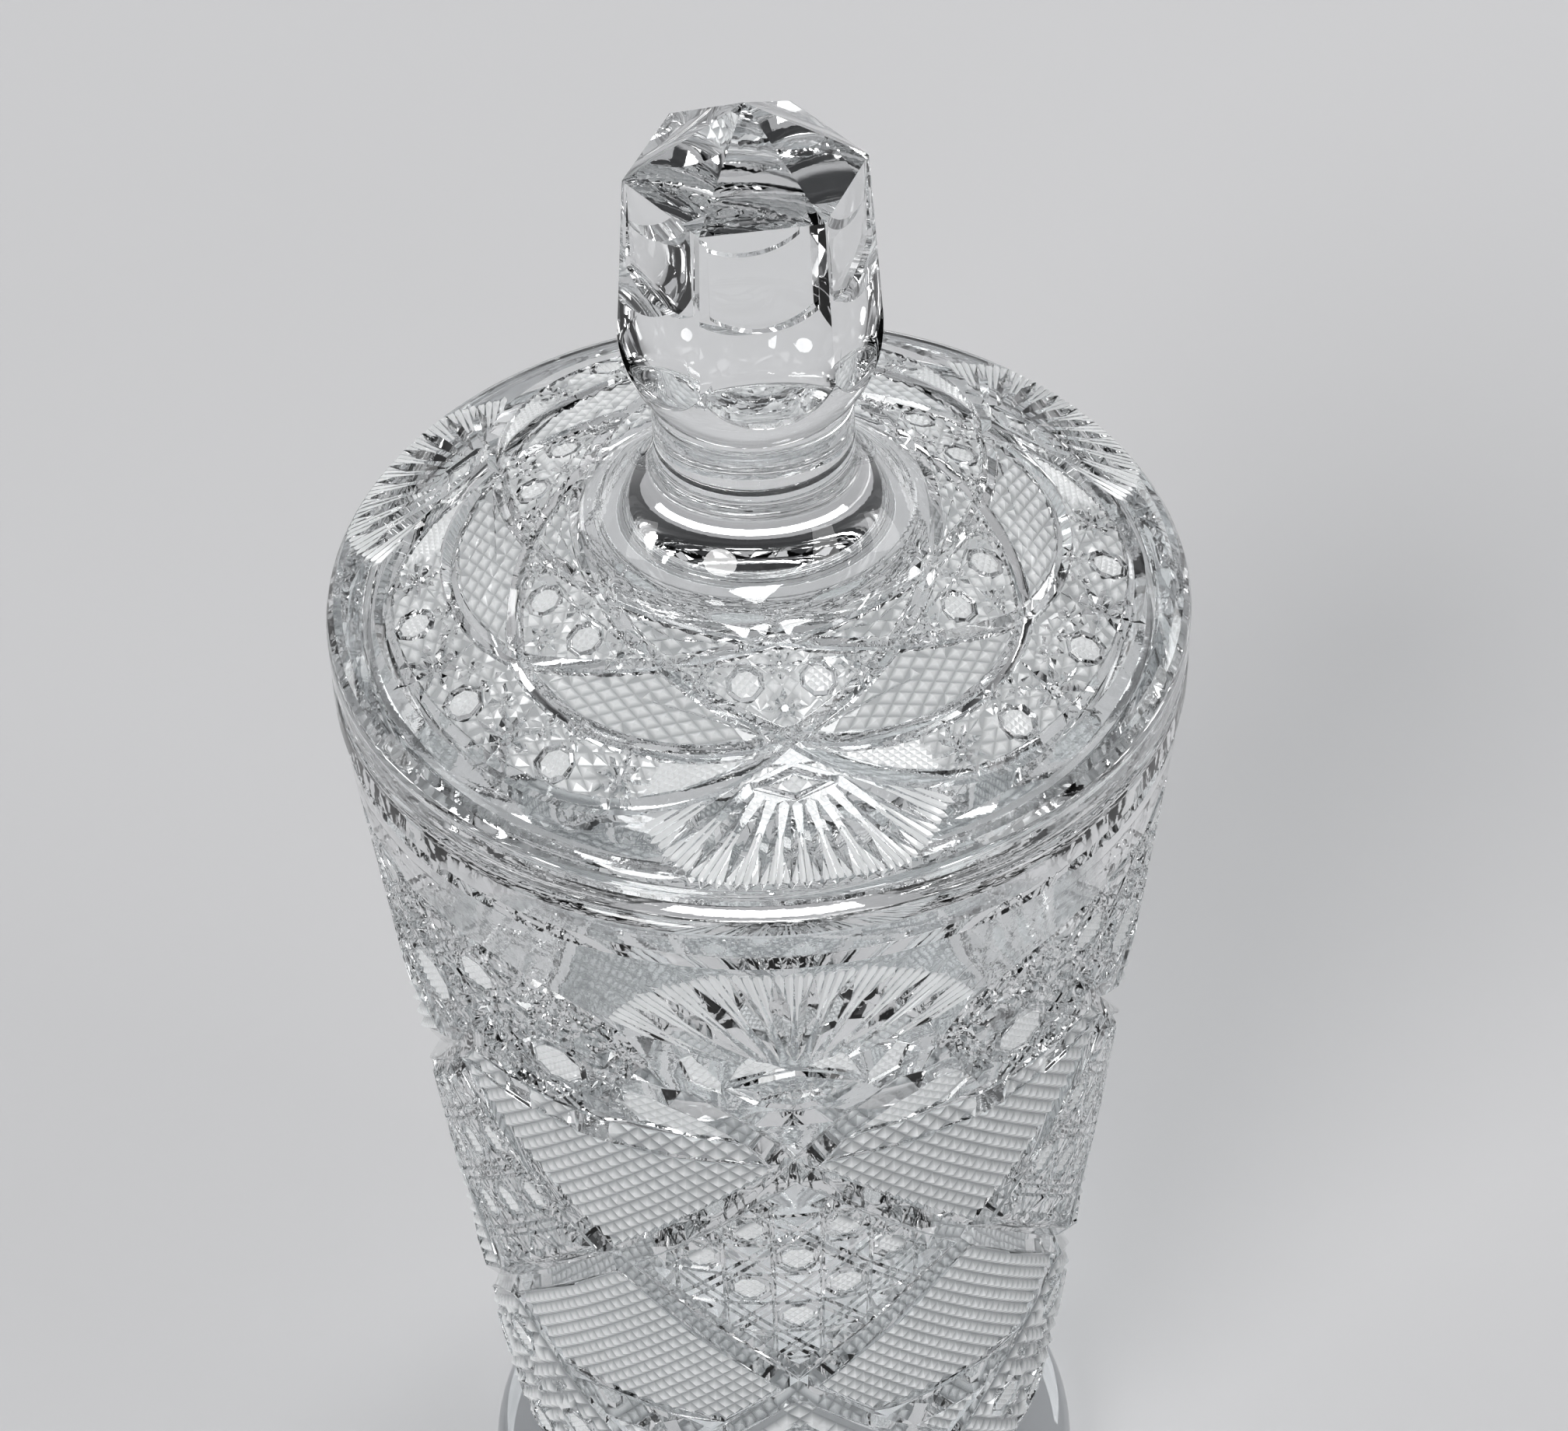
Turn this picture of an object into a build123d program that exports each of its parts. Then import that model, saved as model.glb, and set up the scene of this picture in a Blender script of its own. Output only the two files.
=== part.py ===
from build123d import *
from math import atan2, ceil, cos, degrees, radians, sin, sqrt, tan
import os

# Lidded jar in cut crystal. Sizes are in millimetres, and +Z is up.
# The origin is the middle of the foot's underside, and a flat of the finial faces -Y.

# Rim shared by the jar's lip and the lid's edge
rim_radius = 85.0

# Foot
foot_height = 30.0
foot_radius = 70.0
foot_edge_height = 17.0
foot_edge_round = 4.0
foot_stem_height = 3.0
foot_flare_sag = 2.0
foot_recess_radius = 52.0
foot_recess_depth = 5.0
stem_radius = 44.0

# Jar
jar_height = 248.0
heel_height = 33.0
heel_radius = 65.1
wall_thickness = 10.0
base_thickness = 24.0
floor_round = 14.0
shoulder_inset = 0.6
lip_height = 7.5
lip_round = 2.6
lip_groove_height = 4.0
lip_groove_depth = 1.0
mouth_round = 2.0

# Lid
lid_edge_height = 12.0
lid_edge_lower_round = 2.2
lid_edge_upper_round = 5.0
lid_cone_rise = 15.3
lid_spigot_depth = 8.0
lid_spigot_clearance = 1.0
lid_spigot_width = 8.0
lid_spigot_round = 1.5
lid_hollow_rise = 32.0
hub_radius = 37.4
hub_height = 28.6
hub_collar_height = 6.0

# Finial
neck_radius = 19.2
neck_height = 3.0
finial_shoulder_height = 15.0
finial_block_height = 34.4
finial_block_corner_radius = 24.9
finial_crown_corner_radius = 22.4
finial_crown_height = 14.0
finial_sides = 6
facet_height = 41.3
facet_arch_rise = 9.75
panel_height = 21.5
panel_arch_rise = 4.0
panel_strip_width = 1.3

# Main cuts in the jar's wall: V-shaped mitres that cross, leaves above them, bars, and fans of rays
mitre_width = 6.0
mitre_depth = 2.4
mitre_repeats = 6
mitre_cross_drop = 76.0
mitre_fall = 81.0
mitre_low_fall = 59.0
leaf_width = 7.0
fan_leaf_rise = 22.2
side_leaf_rise = 16.5
bar_drop = 20.0
bar_width = 11.0
bar_length = 32.0
fan_repeats = 3
fan_half_rays = 5
ray_hub_rise = 28.0
ray_start = 12.0
ray_length = 20.0
ray_width = 4.4
ray_depth = 1.7
ray_spread = 11.7
wall_cut_turn = -1.9

# Main cuts in the lid's cone: ribbons that interlace round the hub, scallops, a border, and fans of rays
ribbon_width = 2.6
ribbon_depth = 1.2
ribbon_points = 6
ribbon_near_radius = 34.6
ribbon_far_radius = 56.2
scallop_radius = 60.2
border_radius = 74.1
border_bend_radius = 69.5
border_turn = 39
lid_ray_hub_radius = 58.7
lid_ray_start = 12.0
lid_ray_width = 2.8
lid_ray_depth = 1.2
lid_ray_spread = 12.8

# Cutters of these grooves stand out of the glass by the clearance, and their straight pieces lap at the ends
groove_clearance = 2.0
groove_lap = 0.6
groove_piece_turn = 12.5

# Cuts run this far past the glass that they remove
overrun = 10.0

# Levels up the object's axis
lip_level = foot_height + jar_height
lid_edge_level = lip_level + lid_edge_height
hub_level = lid_edge_level + lid_cone_rise
neck_level = hub_level + hub_height
neck_top_level = neck_level + neck_height
shoulder_level = neck_top_level + finial_shoulder_height
crown_level = shoulder_level + finial_block_height
apex_level = crown_level + finial_crown_height

# Radii that follow from the sizes above
mouth_radius = rim_radius - wall_thickness
floor_radius = heel_radius - wall_thickness
spigot_radius = mouth_radius - lid_spigot_clearance

os.makedirs("parts", exist_ok=True)


def around(turn, radius, level):
    """A point at a turn in degrees from the front, a distance from the axis and a level."""
    return Vector(radius * sin(radians(turn)), -radius * cos(radians(turn)), level)


def straight_groove(start, end, outward, width, depth):
    """A V-shaped cutter from one point of a surface to another; the surface faces outward there."""
    along = (end - start).normalized()
    half_width = width / 2 * (1 + groove_clearance / depth)
    with BuildPart() as cutter:
        with BuildSketch(Plane(start - along * groove_lap, x_dir=outward.cross(along), z_dir=along)):
            Polygon((0, -depth), (half_width, groove_clearance), (-half_width, groove_clearance), align=None)
        extrude(amount=(end - start).length + 2 * groove_lap)
    return cutter.part


def curved_groove(start, middle, end, width, depth):
    """A V-shaped cutter along the arc through three points of an upper surface, anticlockwise from above."""
    to_middle = middle - start
    to_end = end - start
    normal = to_middle.cross(to_end)
    reach = normal.cross(to_middle) * to_end.dot(to_end) + to_end.cross(normal) * to_middle.dot(to_middle)
    centre = start + reach / (2 * normal.dot(normal))
    normal = normal.normalized()
    spoke = start - centre
    last_spoke = end - centre
    sweep = degrees(atan2(spoke.cross(last_spoke).dot(normal), spoke.dot(last_spoke))) % 360
    half_width = width / 2 * (1 + groove_clearance / depth)
    with BuildPart() as cutter:
        with BuildSketch(Plane(start, x_dir=spoke, z_dir=normal.cross(spoke))):
            Polygon((0, depth), (half_width, -groove_clearance), (-half_width, -groove_clearance), align=None)
        revolve(axis=Axis(centre, normal), revolution_arc=sweep)
    return cutter.part


# Foot: a plain spreading disc on a short stem, with a shallow ground recess underneath
foot_tread_radius = foot_radius - foot_edge_round
with BuildPart() as foot:
    with BuildSketch(Plane.XZ):
        with BuildLine():
            Line((0, foot_recess_depth), (0, foot_height))
            Line((0, foot_height), (stem_radius, foot_height))
            Line((stem_radius, foot_height), (stem_radius, foot_height - foot_stem_height))
            SagittaArc(
                (stem_radius, foot_height - foot_stem_height),
                (foot_tread_radius, foot_edge_height),
                -foot_flare_sag,
            )
            CenterArc((foot_tread_radius, foot_edge_height - foot_edge_round), foot_edge_round, 0, 90)
            Line((foot_radius, foot_edge_height - foot_edge_round), (foot_radius, foot_edge_round))
            CenterArc((foot_tread_radius, foot_edge_round), foot_edge_round, -90, 90)
            Line((foot_tread_radius, 0), (foot_recess_radius, 0))
            TangentArc((0, foot_recess_depth), (foot_recess_radius, 0), tangent=(1, 0))
        make_face()
    revolve(axis=Axis.Z)
foot.part.label = "foot"
export_step(foot.part, "parts/foot.step")

# Jar body: a thick tapered wall on a solid base with a rounded heel, and a ringed lip round the mouth
lip_under_level = lip_level - lip_height
groove_mid_level = lip_under_level - lip_groove_height / 2
wall_top_level = lip_under_level - lip_groove_height
shoulder_radius = rim_radius - shoulder_inset
heel_level = foot_height + heel_height
floor_level = foot_height + base_thickness
wall_slope = (shoulder_radius - heel_radius) / (wall_top_level - heel_level)
unrolled_radius = (shoulder_radius + heel_radius) / 2


def on_wall(turn, level):
    """A point on the jar's outer wall."""
    return around(turn, heel_radius + wall_slope * (level - heel_level), level)


def wall_groove(start, end, width, depth):
    """Straight cutters, end to end, for a groove between two places on the wall, each a turn and a level."""
    turn, level = start
    pieces = ceil(abs(end[0] - turn) / groove_piece_turn)
    turn_step = (end[0] - turn) / pieces
    level_step = (end[1] - level) / pieces
    cutters = []
    for piece in range(pieces):
        near = on_wall(turn + piece * turn_step, level + piece * level_step)
        far = on_wall(turn + (piece + 1) * turn_step, level + (piece + 1) * level_step)
        outward = around(turn + (piece + 0.5) * turn_step, 1, -wall_slope).normalized()
        cutters.append(straight_groove(near, far, outward, width, depth))
    return cutters


def slanting_groove(turn, level, way, fall, width):
    """Cutters for a groove that falls, or with a fall below zero rises, at the slope of the mitres."""
    end = (turn + way * fall * mitre_turn / mitre_fall, level - fall)
    return wall_groove((turn, level), end, width, mitre_depth)


# Mitres fall from each crossing to the next one round the wall, and from there on to the heel
mitre_turn = 360 / mitre_repeats
cross_level = lip_level - mitre_cross_drop
lower_cross_level = cross_level - mitre_fall
bar_level = lower_cross_level - bar_drop
bar_turn = degrees(bar_length / unrolled_radius)
crossings = [wall_cut_turn + mitre_turn * side for side in range(mitre_repeats)]
fan_crossings = crossings[:: mitre_repeats // fan_repeats]
wall_cutters = []
for turn in crossings:
    leaf_rise = fan_leaf_rise if turn in fan_crossings else side_leaf_rise
    for way in (-1, 1):
        wall_cutters += slanting_groove(turn, cross_level, way, mitre_fall, mitre_width)
        wall_cutters += slanting_groove(turn, lower_cross_level, way, mitre_low_fall, mitre_width)
        wall_cutters += slanting_groove(turn, cross_level, way, -leaf_rise, leaf_width)
    bar_start = (turn + (mitre_turn - bar_turn) / 2, bar_level)
    bar_end = (turn + (mitre_turn + bar_turn) / 2, bar_level)
    wall_cutters += wall_groove(bar_start, bar_end, bar_width, mitre_depth)
for turn in fan_crossings:
    for ray in range(-fan_half_rays, fan_half_rays):
        lean = radians(ray_spread * (ray + 0.5))
        ends = []
        for out in (ray_start, ray_start + ray_length):
            aside = degrees(out * sin(lean) / unrolled_radius)
            ends.append((turn + aside, cross_level + ray_hub_rise + out * cos(lean)))
        wall_cutters += wall_groove(*ends, ray_width, ray_depth)
with BuildPart() as jar_body:
    with BuildSketch(Plane.XZ):
        with BuildLine():
            Polyline((0, floor_level), (0, foot_height), (stem_radius, foot_height))
            TangentArc(
                (heel_radius, heel_level),
                (stem_radius, foot_height),
                tangent=(heel_radius - shoulder_radius, heel_level - wall_top_level),
            )
            Polyline(
                (heel_radius, heel_level),
                (shoulder_radius, wall_top_level),
                (shoulder_radius - lip_groove_depth, groove_mid_level),
                (rim_radius, lip_under_level),
                (rim_radius, lip_level - lip_round),
            )
            CenterArc((rim_radius - lip_round, lip_level - lip_round), lip_round, 0, 90)
            Line((rim_radius - lip_round, lip_level), (mouth_radius + mouth_round, lip_level))
            CenterArc((mouth_radius + mouth_round, lip_level - mouth_round), mouth_round, 90, 90)
            Line((mouth_radius, lip_level - mouth_round), (floor_radius, floor_level + floor_round))
            CenterArc((floor_radius - floor_round, floor_level + floor_round), floor_round, -90, 90)
            Line((floor_radius - floor_round, floor_level), (0, floor_level))
        make_face()
    revolve(axis=Axis.Z)
    add(wall_cutters, mode=Mode.SUBTRACT)
jar_body.part.label = "jar_body"
export_step(jar_body.part, "parts/jar_body.step")

# Lid: a low cone with a rounded edge, a bell-shaped hub and a spigot that centres it in the mouth
spigot_level = lip_level - lid_spigot_depth
hollow_radius = spigot_radius - lid_spigot_width
cone_radius = rim_radius - lid_edge_upper_round
lid_slope = lid_cone_rise / (cone_radius - hub_radius)


def on_lid(turn, radius):
    """A point on the lid's low cone."""
    return around(turn, radius, hub_level - lid_slope * (radius - hub_radius))


# Ribbons run from point to point past the hub, scallops join the points, and a border swings out between fans
point_turn = 360 / ribbon_points
fan_turn = 360 / fan_repeats
border_turns = (border_turn, fan_turn / 2, fan_turn - border_turn)
arcs = []
for point in range(ribbon_points):
    middle = point_turn * (point + 0.5)
    for half_turn, radius in ((90, ribbon_near_radius), (point_turn / 2, scallop_radius)):
        ends = [(middle + aside, ribbon_far_radius) for aside in (-half_turn, half_turn)]
        arcs.append([ends[0], (middle, radius), ends[1]])
for fan in range(fan_repeats):
    turn = fan * fan_turn
    bends = [(0, ribbon_far_radius), (border_turn / 2, border_bend_radius), (border_turn, border_radius)]
    arcs.append([(turn + aside, radius) for aside, radius in bends])
    arcs.append([(turn - aside, radius) for aside, radius in reversed(bends)])
    arcs.append([(turn + aside, border_radius) for aside in border_turns])
lid_cutters = []
for arc in arcs:
    lid_cutters.append(curved_groove(*(on_lid(*place) for place in arc), ribbon_width, ribbon_depth))
for fan in range(fan_repeats):
    for ray in range(-fan_half_rays, fan_half_rays):
        lean = radians(lid_ray_spread * (ray + 0.5))
        inner = lid_ray_hub_radius * cos(lean)
        reach = sqrt(inner**2 + cone_radius**2 - lid_ray_hub_radius**2) - inner
        ends = []
        for out in (lid_ray_start, reach):
            aside = out * sin(lean)
            ahead = lid_ray_hub_radius + out * cos(lean)
            ends.append(on_lid(fan * fan_turn + degrees(atan2(aside, ahead)), sqrt(aside**2 + ahead**2)))
        outward = around(fan * fan_turn, lid_slope, 1).normalized()
        lid_cutters.append(straight_groove(*ends, outward, lid_ray_width, lid_ray_depth))
with BuildPart() as lid:
    with BuildSketch(Plane.XZ):
        with BuildLine():
            Line((0, spigot_level + lid_hollow_rise), (0, neck_level))
            Line((0, neck_level), (neck_radius, neck_level))
            Line((neck_radius, neck_level), (neck_radius, neck_level - hub_collar_height))
            TangentArc(
                (neck_radius, neck_level - hub_collar_height),
                (hub_radius, hub_level),
                tangent=(0, -1),
            )
            Line((hub_radius, hub_level), (cone_radius, lid_edge_level))
            CenterArc((cone_radius, lid_edge_level - lid_edge_upper_round), lid_edge_upper_round, 0, 90)
            Line(
                (rim_radius, lid_edge_level - lid_edge_upper_round),
                (rim_radius, lip_level + lid_edge_lower_round),
            )
            CenterArc(
                (rim_radius - lid_edge_lower_round, lip_level + lid_edge_lower_round),
                lid_edge_lower_round,
                -90,
                90,
            )
            Line((rim_radius - lid_edge_lower_round, lip_level), (spigot_radius, lip_level))
            Line((spigot_radius, lip_level), (spigot_radius, spigot_level + lid_spigot_round))
            CenterArc(
                (spigot_radius - lid_spigot_round, spigot_level + lid_spigot_round),
                lid_spigot_round,
                -90,
                90,
            )
            Line((spigot_radius - lid_spigot_round, spigot_level), (hollow_radius, spigot_level))
            TangentArc(
                (0, spigot_level + lid_hollow_rise),
                (hollow_radius, spigot_level),
                tangent=(1, 0),
            )
        make_face()
    revolve(axis=Axis.Z)
    add(lid_cutters, mode=Mode.SUBTRACT)
lid.part.label = "lid"
export_step(lid.part, "parts/lid.step")

# Finial: a turned blank with a pointed crown, six leaning facets and, above them, six upright panels
half_side_angle = 180 / finial_sides
crown_apothem = finial_crown_corner_radius * cos(radians(half_side_angle))
block_apothem = finial_block_corner_radius * cos(radians(half_side_angle))
lean_per_height = (block_apothem - crown_apothem) / finial_block_height
facet_half_width = finial_block_corner_radius * sin(radians(half_side_angle)) + panel_strip_width
panel_half_width = crown_apothem * tan(radians(half_side_angle)) - panel_strip_width
side_directions = [
    Vector(cos(turn), sin(turn), 0)
    for turn in (radians(360 * side / finial_sides - 90) for side in range(finial_sides))
]
# Each tier of cuts ends below in an arch: its height, its lean, its half width and the arch's rise
tiers = [
    (facet_height, lean_per_height, facet_half_width, facet_arch_rise),
    (panel_height, 0, panel_half_width, panel_arch_rise),
]
with BuildPart() as finial:
    with BuildSketch(Plane.XZ):
        with BuildLine():
            Line((0, neck_level), (neck_radius, neck_level))
            Line((neck_radius, neck_level), (neck_radius, neck_top_level))
            TangentArc(
                (finial_block_corner_radius, shoulder_level),
                (neck_radius, neck_top_level),
                tangent=(0, -1),
            )
            Line(
                (finial_block_corner_radius, shoulder_level),
                (finial_block_corner_radius, apex_level),
            )
            Line((finial_block_corner_radius, apex_level), (0, apex_level))
            Line((0, apex_level), (0, neck_level))
        make_face()
    revolve(axis=Axis.Z)
    for outward in side_directions:
        crown_edge = outward * crown_apothem + Vector(0, 0, crown_level)
        crown_normal = outward * finial_crown_height + Vector(0, 0, crown_apothem)
        split(bisect_by=Plane(crown_edge, z_dir=crown_normal), keep=Keep.BOTTOM)
    for height, lean, half_width, arch_rise in tiers:
        for outward in side_directions:
            along = Vector(0, 0, 1).cross(outward)
            cut_foot = outward * (crown_apothem + lean * height) + Vector(0, 0, crown_level - height)
            with BuildSketch(Plane(cut_foot, x_dir=along, z_dir=outward + Vector(0, 0, lean))):
                with BuildLine():
                    Polyline(
                        (-half_width, arch_rise),
                        (-half_width, height + overrun),
                        (half_width, height + overrun),
                        (half_width, arch_rise),
                    )
                    ThreePointArc((-half_width, arch_rise), (0, 0), (half_width, arch_rise))
                make_face()
            extrude(amount=overrun, mode=Mode.SUBTRACT)
finial.part.label = "finial"
export_step(finial.part, "parts/finial.step")
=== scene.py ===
from math import ceil, cos, floor, pi, radians, sin, sqrt
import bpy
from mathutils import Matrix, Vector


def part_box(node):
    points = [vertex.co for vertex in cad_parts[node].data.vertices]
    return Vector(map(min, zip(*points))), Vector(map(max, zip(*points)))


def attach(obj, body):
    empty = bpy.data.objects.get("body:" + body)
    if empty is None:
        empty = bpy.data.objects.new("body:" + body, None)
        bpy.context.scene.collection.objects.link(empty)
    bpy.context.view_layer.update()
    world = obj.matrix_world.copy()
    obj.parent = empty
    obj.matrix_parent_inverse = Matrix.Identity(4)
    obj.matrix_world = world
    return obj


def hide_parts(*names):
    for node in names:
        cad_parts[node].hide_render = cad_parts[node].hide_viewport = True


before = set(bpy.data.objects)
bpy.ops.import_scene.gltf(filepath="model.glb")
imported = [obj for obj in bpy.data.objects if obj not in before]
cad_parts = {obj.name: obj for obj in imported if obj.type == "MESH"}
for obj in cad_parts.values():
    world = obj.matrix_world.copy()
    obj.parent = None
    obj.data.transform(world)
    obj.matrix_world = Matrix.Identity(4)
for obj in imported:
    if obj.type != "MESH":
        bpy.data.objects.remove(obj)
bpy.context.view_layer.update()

from types import SimpleNamespace

import bmesh
import bpy
import numpy as np
from mathutils import Matrix, Vector
from mathutils.geometry import delaunay_2d_cdt

bl_info = {
    "name": "Cut-crystal potiche",
    "version": (1, 0, 0),
    "blender": (4, 5, 0),
    "location": "3D View > Sidebar > Potiche",
    "description": "Dresses a lidded crystal jar with its wheel-cut pattern, its glass and a plain studio",
    "category": "Object",
}

# Cut layouts are written in millimetres and degrees, and meshes in metres
MM = 0.001
REPEATS = 3
HALF_REPEAT = 180 / REPEATS
AXIS_STEPS = 32
# Corners of a mesh that are closer than this, in metres, are welded
WELD = 0.00001
# Flat places that are closer than this, in millimetres, count as one
NEAR = 0.01
# Plain strip round a field of small pyramids
FIELD_EDGE = 0.3
# Spots on the plain glass keep this far from the border of a sheet
PLAIN_MARGIN = 1.0
# Sides and turn of the outline of buttons and small rings
OCTAGON = (8, 22.5)
# Facets larger than this, in square metres, get a crisp border
FLAT_AREA = 0.0001
# Edges sharper than these angles stay crisp
CUT_ANGLE = 14
PLAIN_ANGLE = 30
FACET_ANGLE = 12
# The finial's joint is made of the faces whose normals point down further than this
DOWNWARD = -0.9


def length(name, millimetres, description):
    """A length that a user can set, given here in millimetres."""
    return bpy.props.FloatProperty(
        name=name,
        description=description,
        default=millimetres * MM,
        precision=4,
        unit="LENGTH",
        subtype="DISTANCE",
    )


def angle(name, turn, description):
    """An angle that a user can set, given here in degrees."""
    return bpy.props.FloatProperty(
        name=name, description=description, default=radians(turn), subtype="ANGLE"
    )


def colour(name, default, description):
    """A colour that a user can set."""
    return bpy.props.FloatVectorProperty(
        name=name, description=description, default=default, size=3, min=0, max=1, subtype="COLOR"
    )


def in_millimetres(group):
    """The lengths of a property group, as plain numbers in millimetres."""
    return SimpleNamespace(**{name: getattr(group, name) / MM for name in group.__annotations__})


jar_low, jar_high = (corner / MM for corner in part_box("jar_body"))
lid_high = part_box("lid")[1] / MM
foot_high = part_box("foot")[1] / MM


class JarSizes(bpy.types.PropertyGroup):
    """Sizes of the jar's plain shape, before it is cut"""

    rim_radius: length("Rim radius", jar_high.x, "Outside of the lip")
    lip_level: length("Lip level", jar_high.z, "Top of the lip above the table")
    stem_level: length("Stem level", jar_low.z, "Plane where the jar is joined to its foot")
    stem_radius: length("Stem radius", 44.0, "Radius of the joint with the foot")
    heel_height: length("Heel height", 33.0, "Rounded heel, from the stem to the straight wall")
    heel_radius: length("Heel radius", 65.1, "Wall radius just above the heel")
    wall_thickness: length("Wall", 10.0, "Thickness of the wall")
    base_thickness: length("Base", 24.0, "Thickness of the solid base")
    floor_round: length("Floor round", 14.0, "Round between the floor and the wall")
    shoulder_inset: length("Shoulder inset", 0.6, "Step from the lip in to the wall")
    lip_height: length("Lip height", 7.5, "Height of the plain lip")
    lip_round: length("Lip round", 2.6, "Round on the lip's outer edge")
    groove_height: length("Groove height", 4.0, "Height of the groove under the lip")
    groove_depth: length("Groove depth", 1.0, "Depth of the groove under the lip")
    mouth_round: length("Mouth round", 2.0, "Round on the mouth's edge")
    cut_low: length("Cuts from", 46.0, "Level where the cut wall ends, on the heel")
    cut_high: length("Cuts up to", 265.0, "Level where the cut wall ends, under the lip")


class LidSizes(bpy.types.PropertyGroup):
    """Sizes of the lid's plain shape, before it is cut"""

    rim_radius: length("Rim radius", lid_high.x, "Outside of the lid's edge")
    seat_level: length("Seat level", jar_high.z, "Underside of the edge, which sits on the jar's lip")
    neck_level: length("Neck level", lid_high.z, "Plane where the lid is joined to its finial")
    seat_gap: length("Seat gap", 0.15, "Air between the lid's ground edge and the jar's lip")
    edge_height: length("Edge height", 12.0, "Height of the lid's upright edge")
    edge_lower_round: length("Edge lower round", 2.2, "Round under the edge")
    edge_upper_round: length("Edge upper round", 5.0, "Round on top of the edge")
    cone_rise: length("Cone rise", 15.3, "Rise of the low cone from its edge to the hub")
    spigot_depth: length("Spigot depth", 8.0, "How far the spigot reaches into the mouth")
    spigot_radius: length("Spigot radius", 74.0, "Outside of the spigot")
    spigot_width: length("Spigot width", 8.0, "Thickness of the spigot's ring")
    spigot_round: length("Spigot round", 1.5, "Round under the spigot")
    hollow_rise: length("Hollow rise", 32.0, "Rise of the hollow under the lid")
    hub_radius: length("Hub radius", 37.4, "Where the cone turns up into the hub")
    neck_radius: length("Neck radius", 19.2, "Radius of the hub's neck")
    collar_height: length("Collar height", 6.0, "Straight part of the neck")
    cut_low: length("Cuts from", 30.0, "Radius inside which the hub is left plain")
    cut_high: length("Cuts up to", 85.5, "Distance out along the lid where the cuts end")


class FootSizes(bpy.types.PropertyGroup):
    """Sizes of the plain foot"""

    radius: length("Radius", foot_high.x, "Outside of the foot")
    height: length("Height", foot_high.z, "Plane where the foot is joined to the jar")
    edge_height: length("Edge height", 17.0, "Top of the foot's edge")
    edge_round: length("Edge round", 4.0, "Rounds on the foot's edge")
    stem_radius: length("Stem radius", 44.0, "Radius of the joint with the jar")
    stem_height: length("Stem height", 3.0, "Straight part below the joint")
    flare_sag: length("Flare sag", 2.0, "Hollow of the flare")
    recess_radius: length("Recess radius", 52.0, "Ground hollow underneath")
    recess_depth: length("Recess depth", 5.0, "Depth of the hollow underneath")


class CutSizes(bpy.types.PropertyGroup):
    """Widths and depths of the wheel's cuts"""

    mitre_width: length("Mitre width", 6.0, "Deep V cuts that frame the jar's fields")
    mitre_depth: length("Mitre depth", 2.4, "Depth of the jar's deep V cuts")
    ribbon_width: length("Ribbon width", 2.6, "Curved V cuts of the lid")
    ribbon_depth: length("Ribbon depth", 1.2, "Depth of the lid's curved V cuts")
    hobnail_pitch: length("Hobnail pitch", 3.1, "Spacing of the jar's small pyramids")
    hobnail_depth: length("Hobnail depth", 1.15, "Height of the jar's small pyramids")
    fine_pitch: length("Fine pitch", 1.45, "Spacing of the jar's finest crossed lines")
    fine_depth: length("Fine depth", 0.5, "Depth of the jar's finest crossed lines")
    cane_width: length("Cane width", 1.0, "Thin V cuts between the hatched buttons")
    cane_depth: length("Cane depth", 0.7, "Depth of the thin V cuts between the buttons")


class GlassFinish(bpy.types.PropertyGroup):
    """Colour and turn of the glass"""

    tint: colour("Tint", (0.978, 0.983, 0.985), "Colour of the crystal")
    edge_tint: colour("Thick tint", (0.94, 0.953, 0.958), "Colour where the crystal is faintly streaked")
    matt_tint: colour("Matt tint", (0.94, 0.95, 0.955), "Colour of small pyramids and hatching")
    matt_streak: colour("Matt streak", (0.85, 0.865, 0.87), "Colour where the hatching is worn clearer")
    # Painted shade: the colour that the matt glass darkens to deep between the small pyramids, where shade
    # would fall
    valley_painted_shade: colour("Painted valley shade", (0.33, 0.345, 0.355), "Colour deep down between the small pyramids")
    matt_share: bpy.props.FloatProperty(
        name="Matt share", description="How much of the hatching is dull", default=0.8, min=0, max=1
    )
    shadow: colour("Shadow", (0.72, 0.73, 0.735), "Light that each wall lets through to the table")
    jar_turn: angle("Jar turn", -1.9, "Turn of the jar's pattern from the front")
    lid_turn: angle("Lid turn", 0.0, "Turn of the lid's pattern from the front")
    finial_turn: angle("Finial turn", 2.6, "Turn of the finial from the front")


class StageSettings(bpy.types.PropertyGroup):
    """Floor, light and the view of the photograph"""

    floor_colour: colour("Floor", (0.66, 0.66, 0.67), "Pale table")
    wall_colour: colour("Walls", (0.44, 0.44, 0.45), "Pale walls far round the table")
    ceiling_colour: colour("Ceiling", (0.045, 0.046, 0.048), "Dim ceiling over the table")
    aim_level: length("Aim level", 284.0, "Level of the lid's widest circle, which the view starts from")
    view_distance: length("Distance", 767.3, "From the camera to the middle of the lid's edge")
    view_turn: angle("Azimuth", -4.9, "Turn of the camera from the front")
    view_rise: angle("Elevation", 41.37, "Height of the camera over the horizon")
    view_yaw: angle("Yaw", -0.321, "Aim to the side of the axis")
    view_tilt: angle("Tilt", -1.770, "Aim below the lid")
    view_roll: angle("Roll", 1.713, "Camera leaning to one side")


# Flat geometry of outlines and paths


def as_points(points):
    return np.asarray(points, float).reshape(-1, 2)


def cross(first, second):
    return first[..., 0] * second[..., 1] - first[..., 1] * second[..., 0]


def left_of(vectors):
    """The vectors turned a quarter to the left."""
    return np.stack([-vectors[..., 1], vectors[..., 0]], axis=-1)


def unit(vectors):
    return vectors / np.linalg.norm(vectors, axis=-1, keepdims=True)


def on_circle(turns):
    """Unit vectors at turns in radians."""
    return np.stack([np.cos(turns), np.sin(turns)], axis=-1)


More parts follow.
